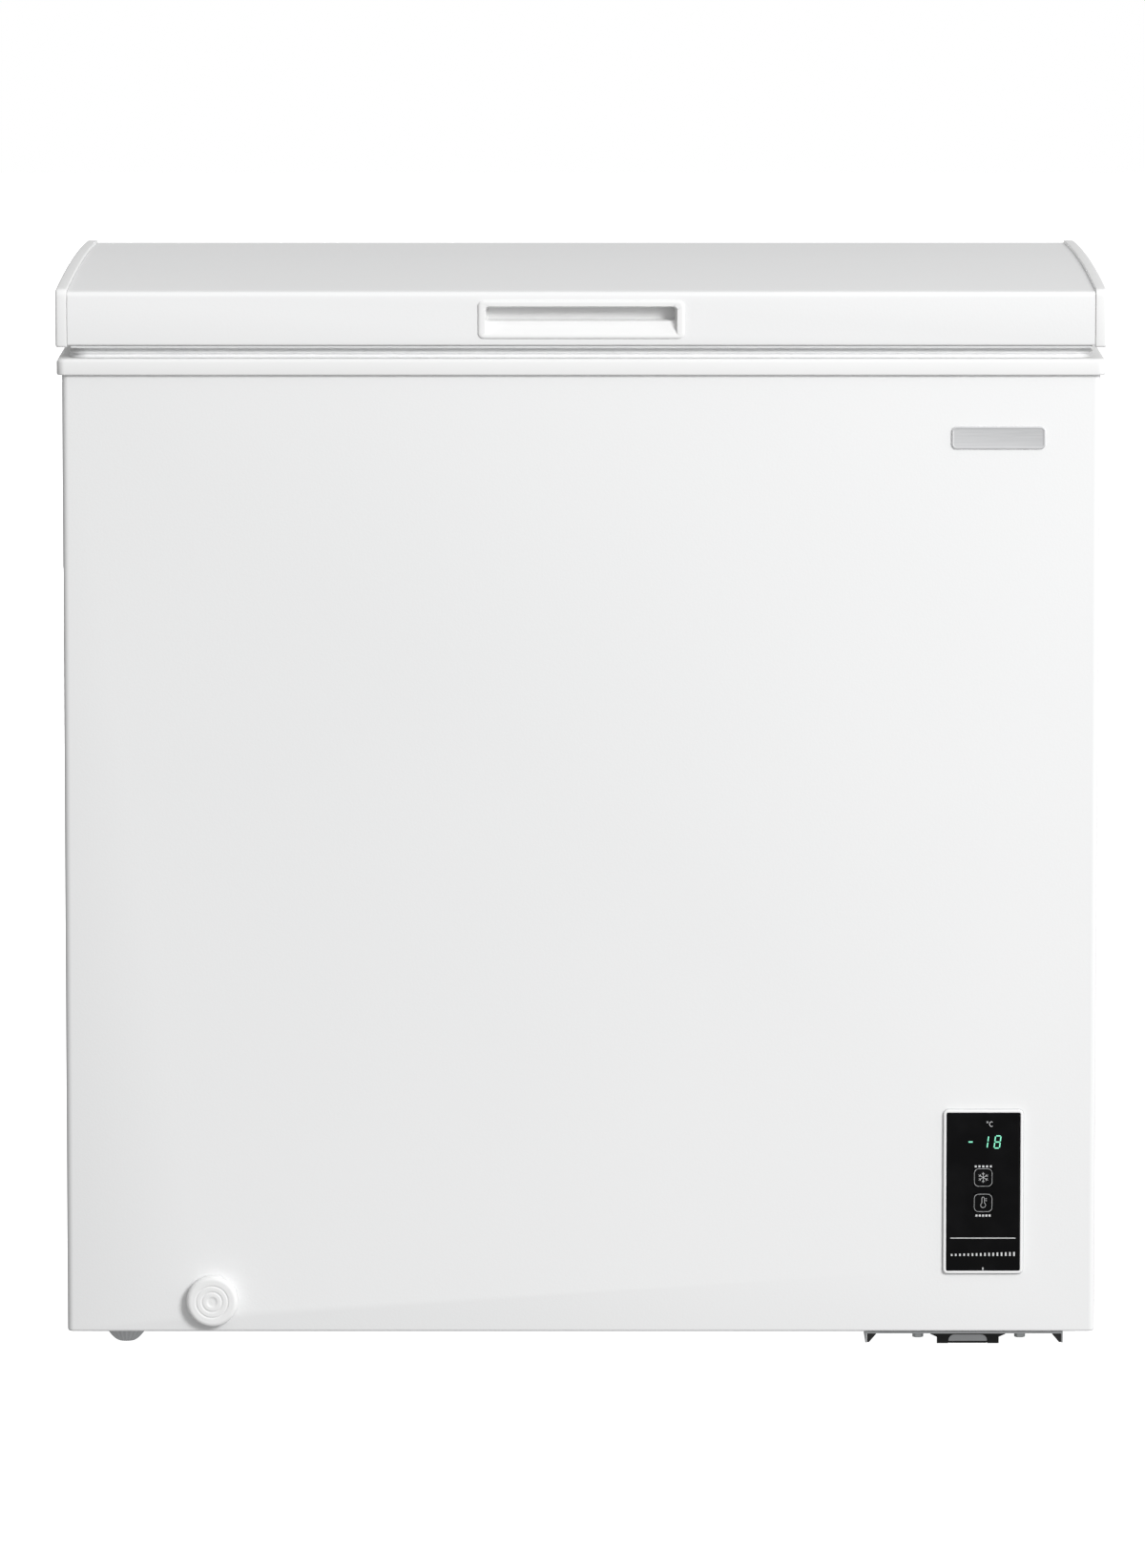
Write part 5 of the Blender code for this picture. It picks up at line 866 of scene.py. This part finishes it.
def lid_underside():
    """The lid's formed liner: a border, a ring that dips into the opening, and three shallow raised fields.
    The depth is a sum of eased steps of the distance inside rounded rectangles."""
    low, high, middle, half = extent("lid_liner")
    points = np.array([v.co for v in NODES["lid_liner"].data.vertices])
    dipped = points[points[:, 2] < low.z + 0.0005]
    plug_x, plug_y = (dipped.max(0) - dipped.min(0))[:2] / 2
    sheet, field_rise, field_gap = 0.0015, 0.0012, 0.008
    x, y = np.meshgrid(np.linspace(-half.x, half.x, 281), np.linspace(-half.y, half.y, 185), indexing="ij")

    def inside(centre, size_x, size_y, radius):
        """Distance inside a rounded rectangle, negative outside it."""
        far = np.stack([np.abs(x - centre) - (size_x - radius), np.abs(y) - (size_y - radius)])
        return radius - (np.linalg.norm(np.maximum(far, 0), axis=0) + np.minimum(far.max(0), 0))

    depth = (high.z - sheet - low.z) * smooth(inside(0, plug_x, plug_y, 0.014), -0.006, 0.0010)
    third = (plug_x - 0.03) / 3
    for centre in (-2 * third, 0, 2 * third):
        field = inside(centre, third - field_gap, plug_y - 0.03, 0.016)
        depth = depth + field_rise * smooth(field, 0, 0.004)
    under = np.stack([x + middle.x, y + middle.y, high.z - sheet - depth], -1)
    over = under + [0, 0, sheet]
    rim = border(under)
    wall = woven(np.stack([rim, rim + [0, 0, sheet]]), wrap_columns=True)
    piece("lid_underside", [woven(under), woven(over[:, ::-1]), wall], "lid", "liner_plastic",
          stands_for=("lid_liner",))


def lid_seal():
    """The magnetic seal: a section with two soft folds, each a raised cosine, carried round the lid."""
    low, high, middle, half = extent("lid_gasket")
    skirt, width, radius, fold, inner_radius = 0.0060, 0.014, 0.016, 0.0020, 0.004
    climb = np.linspace(0, 1, 33)
    height = low.z + climb * (high.z - low.z)
    wave = fold * (0.5 - 0.5 * np.cos(climb * 4 * np.pi))
    outer = np.stack([skirt - wave, height, np.full(33, radius)], -1)
    inner = np.stack([-width + wave * 0.5, height, np.full(33, inner_radius)], -1)[::-1]
    band = banded(middle, half.x, half.y, np.concatenate([outer, inner]), 8)
    piece("lid_seal", [band], "lid", "grey_rubber", paint=SEAL, stands_for=("lid_gasket",), sharp=60)


def lid_grip():
    """The recessed handle. Outside the opening it is a flat frame with a rounded rim. Inside, the depth is the
    lower of two: up the height, a quarter sine as far as the lip and then an eased step to the full depth; and
    an eased step of the distance from the nearest end or the top."""
    low, _, middle, half = extent("lid_handle")
    half_x, half_z, face = half.x, half.z, low.y
    proud, rim, deep, bend, corner, sheet = 0.0012, 0.0055, 0.0190, 0.0035, 0.0045, 0.0006
    lip, share, near, wall = 0.0065, 0.46, 0.03, 0.0022
    end = np.concatenate([np.linspace(0, 1, 9) ** 1.5 * 0.006, np.linspace(0.008, near, 9)])
    between = np.linspace(-half_x + rim + near, half_x - rim - near, 24)
    xs = np.unique(np.round(np.concatenate([-half_x + rim + end, half_x - rim - end, between]), 6))
    zs = np.linspace(-half_z + 0.0035, half_z - 0.0045, 61)
    x, z = np.meshgrid(xs, zs, indexing="ij")
    rise = (z - zs[0]) / (zs[-1] - zs[0])
    scoop = lip * np.sin(np.pi / 2 * np.clip(rise / share, 0, 1)) ** 1.1
    scoop = scoop + (deep - lip) * smooth(rise, share, share + 0.035)
    over_x, over_z = np.abs(x) - (xs[-1] - bend), z - (zs[-1] - bend)
    from_wall = bend - np.hypot(np.maximum(over_x, 0), np.maximum(over_z, 0))
    from_wall = from_wall - np.minimum(np.maximum(over_x, over_z), 0)
    depth = np.minimum(scoop, deep * smooth(from_wall, 0.0, wall))
    field = woven(np.stack([x, face + depth, z + middle.z], -1))
    opening = border(np.stack([x, z], -1))
    outer = np.column_stack([opening[:, 0] * half_x / xs[-1],
                             np.interp(opening[:, 1], [zs[0], zs[-1]], [-half_z, half_z])])
    square = np.array([half_x - corner, half_z - corner])
    far = np.maximum(np.abs(outer) - square, 0)
    length = np.linalg.norm(far, axis=1, keepdims=True)
    bow = far / np.maximum(length, 1e-9) * np.minimum(length, corner)
    outer = np.sign(outer) * (np.minimum(np.abs(outer), square) + bow)
    rows = [(0.0, 0.0), (0.55, -0.00025), (0.85, 0.0), (0.97, 0.0005), (1.0, proud), (1.0, proud + 0.0002)]
    grid = np.stack([np.column_stack([ring[:, 0], np.full(len(ring), face + back), ring[:, 1] + middle.z])
                     for ring, back in ((opening + (outer - opening) * out, back) for out, back in rows)])
    shell = piece("lid_grip", [field, woven(grid, wrap_columns=True)], "lid", "white_plastic",
                  stands_for=("lid_handle",), sharp=60)
    thicken(shell, sheet, -1.0)
    return shell


# ---------------------------------------------------------------- controls and nameplate

def control_frame():
    """The panel's white rim: a band with a rounded face round the black window, on a thin grey ring of painted
    shade for the gap round it.
    """
    low, _, middle, half = extent("control_bezel")
    outer = loop(half.x, half.z, 0.0036, 8)[0] + [middle.x, middle.z]
    front = low.y
    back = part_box("outer_shell")[0].y - 0.0001
    rim = half.x - extent("control_window")[3].x - 0.0003
    rows = [(0.0, back), (0.0, front + 0.0009), (0.00025, front + 0.0003), (0.0007, front),
            (rim - 0.0005, front), (rim - 0.0001, front + 0.0002), (rim, front + 0.0006), (rim, back)]
    piece("control_frame", [ringed(outer, rows, wrap_rows=True)], "cabinet", "white_plastic",
          stands_for=("control_bezel",), sharp=60)
    # A thin grey ring showing round the rim: painted shade for the shadow gap between the rim and the sheet.
    shade_ring = [(-0.00045, back), (-0.00045, back - 0.0004), (-0.00025, back - 0.0006), (0.0, back - 0.0006),
            (0.0, back)]
    piece("control_shade_ring", [ringed(outer, shade_ring, wrap_rows=True)], "cabinet", "black_rubber",
          paint=PAINTS["grey_plastic"], sharp=60)


def printed(name, marks, plane, body, paint, slot="gloss_black"):
    """Lines of print, each a path with its width, as thin solids on a face."""
    lines = [ribbon(path, width, plane, -PRINT, PRINT, closed) for path, width, closed in marks]
    return piece(name, lines, body, slot, paint=paint, sharp=30)


def snowflake(middle, reach):
    """Three lines through the middle, each with a pair of barbs near both ends."""
    marks = []
    for turn in np.radians(np.arange(6) * 60.0 + 90.0):
        way = np.array([np.cos(turn), np.sin(turn)])
        root = middle + way * reach * 0.55
        marks.append(([middle, middle + way * reach], 0.0003, False))
        for lean in (turn - np.pi / 4, turn + np.pi / 4):
            barb = np.array([np.cos(lean), np.sin(lean)])
            marks.append(([root, root + barb * reach * 0.36], 0.00026, False))
    return marks


def thermometer(middle, size):
    """An outline: a round bulb under a narrow stem with a round top, and two short marks beside the stem."""
    bulb = arc(size, 120, 420, 17) + middle - [0, size * 0.9]
    stem = size * 1.9
    path = np.concatenate([[bulb[0] + [0, stem]], bulb, [bulb[-1] + [0, stem]]])
    top = arc(size / 2, 0, 180, 7)[1:-1] + (path[0] + path[-1]) / 2
    marks = [(np.concatenate([path, top]), 0.00028, True)]
    for rise in (0.9, 1.7):
        y = middle[1] + size * rise
        marks.append(([(middle[0] + size * 0.85, y), (middle[0] + size * 1.5, y)], 0.00035, False))
    return marks


def digit(strokes, corner, width, height, lean=0.13, bar=0.0009, gap=0.0005):
    """A seven-segment figure: bars between its six corners, leaning to the right."""
    spots = {"a": ((0, 1), (1, 1)), "b": ((1, 1), (1, 0.5)), "c": ((1, 0.5), (1, 0)), "d": ((0, 0), (1, 0)),
             "e": ((0, 0.5), (0, 0)), "f": ((0, 1), (0, 0.5)), "g": ((0, 0.5), (1, 0.5))}
    marks = []
    for stroke in strokes:
        ends = np.array(spots[stroke], float) * [width, height]
        ends[:, 0] += ends[:, 1] * lean
        clear = (ends[1] - ends[0]) / np.linalg.norm(ends[1] - ends[0]) * gap
        marks.append((np.array([ends[0] + clear, ends[1] - clear]) + corner, bar, False))
    return marks


def control_face():
    """The black window and keys, with generic figures, key signs and index marks on them."""
    finished("control_window", 0.0002)
    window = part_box("control_window")[0]
    middle = extent("control_bezel")[2]
    plane = window.y - PRINT

    def across(x, z, reach, width):
        """A level line either side of x."""
        return [(middle.x + x - reach, middle.z + z), (middle.x + x + reach, middle.z + z)], width, False

    def upright(x, z, reach, width):
        """An upright line that starts at z."""
        return [(middle.x + x, middle.z + z), (middle.x + x, middle.z + z + reach)], width, False

    base, tall, wide = middle.z + 0.0352, 0.0098, 0.0043
    figures = [across(-0.01015, 0.0352 + tall / 2, 0.00165, 0.0010),
               *digit("bc", (middle.x - 0.0014, base), wide, tall),
               *digit("abcdefg", (middle.x + 0.0084, base), wide, tall)]
    printed("display_figures", figures, plane, "cabinet", GLOW)
    degree = arc(0.0006, 0, 360, 13)[:-1] + [middle.x + 0.0032, middle.z + 0.0560]
    unit = arc(0.0019, 50, 310, 13) * [0.8, 1.0] + [middle.x + 0.0063, middle.z + 0.0544]
    marks = [(degree, 0.0003, True), (unit, 0.00042, False), across(0, -0.0371, 0.0259, 0.0007),
             upright(0, window.z + 0.0004 - middle.z, 0.0020, 0.0009)]
    for z, pitch in ((0.0205, 0.0030), (-0.0190, 0.0026)):
        marks += [across(i * pitch, z, 0.0008, 0.0016) for i in range(-2, 3)]
    bars = 16
    marks += [upright((i - (bars - 1) / 2) * 0.0033, -0.0515, 0.0016 * (1 + i / (bars - 1)), 0.0013)
              for i in range(bars)]
    printed("window_print", marks, plane, "cabinet", INK)
    for node, sign, size in (("super_button", snowflake, 0.0043), ("temp_button", thermometer, 0.0020)):
        finished(node, 0.0002)
        low, _, centre, _ = extent(node)
        centre = np.array([centre.x, centre.z])
        outline = loop(0.0070, 0.0070, 0.0034, 7)[0] + centre
        signs = [(outline, 0.00024, True)] + sign(centre, size)
        printed(f"{node}_print", signs, low.y - PRINT, BODY_OF[node], INK)


def nameplate():
    """A blank plate: a pale rounded rim round a slightly sunk satin field."""
    low, high, middle, half = extent("badge")
    outer = loop(half.x, half.z, 0.0040, 9)[0] + [middle.x, middle.z]
    front, back = low.y, high.y
    rows = [(0.0, back), (0.0, front + 0.0007), (0.0003, front + 0.0002), (0.0008, front), (0.0013, front),
            (0.0017, front + 0.0004), (0.0021, front + 0.0005)]
    piece("nameplate", [ringed(outer, rows, cap_rows=True)], "cabinet", "bright_plate",
          stands_for=("badge",), sharp=40)


# ---------------------------------------------------------------- drain and feet

def drain_cap():
    """The drain's turning knob: a turned disc whose depth is the sum of a dimple, a ring round the boss and a
    groove, each a bell curve of the radius, and a quarter circle at the rim."""
    low, high, middle, half = extent("drain_knob")
    radius, face, back = half.x, low.y, high.y
    roll, groove, boss, bore, bore_depth, chamfer = 0.0035, 0.0127, 0.0080, 0.0085, 0.003, 0.0003
    dimple, dimple_width = 0.00152, 0.002356
    radii = np.concatenate([np.linspace(0, radius - roll, 60),
                            radius - roll + roll * np.sin(np.linspace(0, np.pi / 2, 9))[1:]])
    depth = face + 0.0008 * np.exp(-((radii - dimple) / dimple_width) ** 4)
    for centre, width in ((boss, 0.0007), (groove, 0.0006)):
        depth = depth + 0.0005 * np.exp(-((radii - centre) / width) ** 2)
    past = np.clip((radii - radius + roll) / roll, 0, 1)
    depth = depth + roll * (1 - np.sqrt(np.clip(1 - past ** 2, 0, 1)))
    skirt = [(radius, back - 0.0002), (radius - chamfer, back), (bore, back), (bore, back - bore_depth),
             (0.0, back - bore_depth)]
    profile = np.concatenate([np.stack([radii, depth], -1), skirt])
    piece("drain_cap", [turned((middle.x, 0.0, middle.z), profile, "Y", 64)], "drain_knob", "white_plastic",
          stands_for=("drain_knob",), sharp=50)


def screw_feet():
    """Two domed feet with ribs to turn them by, under the left side. The radius of the dome grows with the
    power 0.55 of the height."""
    rise, stud, chamfer, ribs, rib_depth = 0.0147, 0.004, 0.001, 24, 0.0006
    for label in ("front", "rear"):
        node = f"left_foot_{label}"
        low, high, middle, half = extent(node)
        radius, top = half.x, low.z + rise
        sole = radius * 0.22
        climb = np.linspace(1, 0, 14)[1:-1] ** 1.4
        dome = [(sole + (radius - sole) * c ** 0.55, low.z + (rise - 2 * chamfer) * c) for c in climb]
        profile = [(0, high.z), (stud, high.z), (stud, top), (radius - chamfer, top), (radius, top - chamfer),
                   *dome, (sole * 0.5, low.z), (0, low.z)]
        foot = turned((middle.x, middle.y, 0.0), profile, "Z", 144, ribs, rib_depth)
        piece(f"screw_foot_{label}", [foot], node, "grey_rubber", stands_for=(node,), sharp=50)


def tray_fittings():
    """The compressor tray, its two black feet and its screws, with rounded and rolled edges. In front, a black
    hood with a round-topped opening laps over the tray's tab, and a black gusset closes each flange: both are
    painted shade, black for the shadow round the tab and in the flanges."""
    finished("compressor_tray", 0.0004)
    tray_low, tray_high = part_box("compressor_tray")
    low, _, middle, half = extent("tray_foot_front")
    door, arch, shoulder, top, lintel, crest = 0.0155, 0.0050, 0.0054, 0.0078, 0.0074, 0.0125
    waist, sole = half.x - 0.0053, low.z + 0.0003
    bow = arc(arch, 90, 0, 7) + [door - arch, lintel - arch]
    right = np.concatenate([bow, [(door, sole), (waist, sole), (waist, shoulder), (half.x, top),
                                  (half.x, crest)]])
    outline = np.concatenate([right, right[::-1] * [-1, 1]])[::-1] + [middle.x, 0]
    # Black round the tray's tab: painted shade for the shadow that falls round the stamped tab.
    piece("foot_hood_painted_shade", [slab(outline, low.y - 0.0023, low.y - 0.0016, "Y")], "cabinet", "black_rubber")
    front = tray_low.y + 0.0006
    # A gusset at each flange end, coloured black for the shadow that falls there: painted shade.
    for side, edge in ((-1, tray_low.x), (1, tray_high.x)):
        corner = np.array([(0.0, 0.0145), (0.0, 0.0064), (-side * 0.0016, 0.0064), (-side * 0.0072, 0.0130),
                           (-side * 0.0072, 0.0145)]) + [edge - side * 0.0014, 0]
        gusset = slab(corner[::-side], front, front + 0.0012, "Y")
        piece(f"tray_gusset_painted_shade_{side + 2}", [gusset], "cabinet", "black_rubber")
    for label in ("front", "rear"):
        finished(f"tray_foot_{label}", 0.0012)
    for label in ("left", "right"):
        finished(f"tray_screw_{label}", 0.0003)


# ---------------------------------------------------------------- basket

def wire_basket():
    """A welded basket: upright loops both ways, belts round it, a rim, and hooked bars that sit on the
    collar. Each is a round bar along a route with eased corners."""
    low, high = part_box("basket")
    points = np.array([v.co for v in NODES["basket"].data.vertices])
    tub_points = points[points[:, 2] < low.z + 0.1]
    left, front = tub_points.min(0)[:2] + WIRE
    right, back = tub_points.max(0)[:2] - WIRE
    base, rim = low.z + WIRE, high.z - 0.010 - RIM_WIRE
    corner, margin, belt_step, belt_radius, rim_radius = 0.010, 0.014, 0.045, 0.0095, 0.0105
    wires = []
    for x in np.linspace(left + margin, right - margin, 12):
        path = eased([(x, front, rim), (x, front, base), (x, back, base), (x, back, rim)], corner)
        wires.append(wire(path, WIRE, (1, 0, 0)))
    inner, near, far = base + 2 * WIRE, left + 2 * WIRE, right - 2 * WIRE
    for y in np.linspace(front + margin, back - margin, 16):
        path = eased([(near, y, rim), (near, y, inner), (far, y, inner), (far, y, rim)], corner)
        wires.append(wire(path, WIRE, (0, 1, 0)))
    belts = [(base + belt_step * i, belt_radius, WIRE) for i in (1, 2, 3)] + [(rim, rim_radius, RIM_WIRE)]
    middle = [(left + right) / 2, (front + back) / 2]
    for z, radius, gauge in belts:
        path = loop((right - left) / 2, (back - front) / 2, radius, 7)[0] + middle
        wires.append(wire(np.column_stack([path, np.full(len(path), z)]), gauge, (0, 0, 1), closed=True))
    bar_z, start, end = high.z - RIM_WIRE, left + 0.012, right - 0.012
    for side, wall, reach in ((-1, front, low.y + RIM_WIRE), (1, back, high.y - RIM_WIRE)):
        corners = [(start, wall, rim), (start, reach, bar_z), (end, reach, bar_z), (end, wall, rim)]
        path = eased(corners, 0.004)
        wires.append(wire(path, RIM_WIRE, (0, -side * 0.6, 1)))
    piece("wire_basket", wires, "basket", "coated_wire", stands_for=("basket",), sharp=80)


# ---------------------------------------------------------------- hinges and back

def hinge_springs():
    """A round compression spring in each hinge, which in the freezer shortens with its plunger but here keeps
    one length: a helix whose height is the share of its turns less a sine of it, so that the end turns lie
    closer."""
    turns = 8.5
    share = np.linspace(0, 1, int(turns * 22))
    climb = share - 0.5 / np.pi / 2 * np.sin(2 * np.pi * share)
    angle = 2 * np.pi * turns * share
    for side in ("left", "right"):
        node = f"hinge_spring_{side}"
        low, high, middle, _ = extent(node)
        height = low.z + SPRING_WIRE + (high.z - low.z - 2 * SPRING_WIRE) * climb
        path = np.column_stack([middle.x + SPRING_COIL * np.cos(angle),
                                middle.y + SPRING_COIL * np.sin(angle), height])
        coil = piece(f"spring_{side}", [wire(path, SPRING_WIRE, (0, 0, 1), 10)], None, "spring_steel",
                     stands_for=(node,), sharp=80)
        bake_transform(coil)


def hinge_parts():
    """The hinges' pressed and turned parts, with rounded edges."""
    for side in ("left", "right"):
        for part, edge in (("base", 0.0005), ("arm", 0.0005), ("pin", 0.0003), ("plunger", 0.0006)):
            finished(f"hinge_{part}_{side}", edge)


def bay_parts():
    """The back, and what shows through its grille, from below and in the drain."""
    edges = {"back_panel": 0.0, "rear_grille": 0.0003, "cable_gland": 0.0005, "relay_cover": 0.0008,
             "compressor_shell_lower": 0.0008, "compressor_shell_upper": 0.0008}
    for i in range(1, 5):
        edges[f"mount_grommet_{i}"] = 0.0006
        edges[f"mount_bolt_{i}"] = 0.0003
    for node, edge in edges.items():
        finished(node, edge)
    for node in ("filter_drier", "condenser_coil", "capillary_tube", "evaporator_coil"):
        finished(node, sharp=60)
    for node, edge in (("drain_spout", 0.0004), ("drain_plug", 0.0006), ("drain_pipe", 0.0002)):
        finished(node, edge)


def louvres():
    """A pressed hood over each slot of the grille: a quarter of an oval carried along the slot, which swells
    out of the sheet at both ends."""
    low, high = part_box("rear_grille")
    points = np.array([v.co for v in NODES["rear_grille"].data.vertices])
    inner = points[(points[:, 0] > low.x + 0.015) & (points[:, 0] < high.x - 0.015)]
    heights = np.unique(np.round(inner[:, 2], 4))
    root, reach, lift, share = high.y - 0.0002, 0.0042, 0.0008, 0.75
    ease = np.array([0.0, 0.0008, 0.002, 0.004])
    swell = np.array([0.15, 0.6, 0.88, 1.0])
    xs = np.concatenate([low.x + 0.018 + ease, (high.x - 0.018 - ease)[::-1]])
    bend = arc(1.0, 90, 0, 7)
    hoods = []
    for bottom, top in zip(heights, heights[1:]):
        if not 0.0060 < top - bottom < 0.0080:
            continue
        drop = (top - bottom) * share
        foot = [0, top - drop + lift]
        outside = bend * [reach, drop] + foot
        inside = bend[::-1] * [reach - SHEET, drop - SHEET] + foot
        out, up = np.concatenate([outside, inside]).T
        grid = np.stack([np.column_stack([np.full(len(out), x), root + out * grown, up])
                         for x, grown in zip(xs, np.concatenate([swell, swell[::-1]]))])
        hoods.append(woven(grid, wrap_columns=True, cap_rows=True))
    piece("grille_louvres", hoods, "cabinet", "galvanised", sharp=50)


# ---------------------------------------------------------------- the whole freezer

def repaint_nodes():
    """Every CAD node takes its slot's finish. A node that a new piece replaces isn't shown."""
    for node, shown in NODES.items():
        shown.data.materials.clear()
        shown.data.materials.append(PAINTS[SLOT_OF[node]].material)


def lay_floor():
    """A plain white floor that throws no light on the freezer and isn't reflected in it."""
    size = 14.0
    mesh = bpy.data.meshes.new("floor")
    corners = [(-size, -size, 0), (size, -size, 0), (size, size, 0), (-size, size, 0)]
    mesh.from_pydata(corners, [], [(0, 1, 2, 3)])
    floor = bpy.data.objects.new("floor", mesh)
    bpy.context.scene.collection.objects.link(floor)
    paint = Paint("floor", base_color=(0.9, 0.9, 0.9, 1.0), roughness=0.9, emission_strength=1.0,
                  emission_color=(1, 1, 1, 1))
    mesh.materials.append(paint.material)
    floor.visible_diffuse = False
    floor.visible_glossy = False


bpy.context.scene.view_settings.view_transform = "Standard"
place_camera()
light_room()
lay_floor()
repaint_nodes()
cabinet_wrap()
collar_frame()
liner_tub()
lid_sheet()
lid_ends()
lid_underside()
lid_seal()
lid_grip()
control_frame()
control_face()
nameplate()
drain_cap()
screw_feet()
tray_fittings()
wire_basket()
hinge_springs()
hinge_parts()
bay_parts()
louvres()
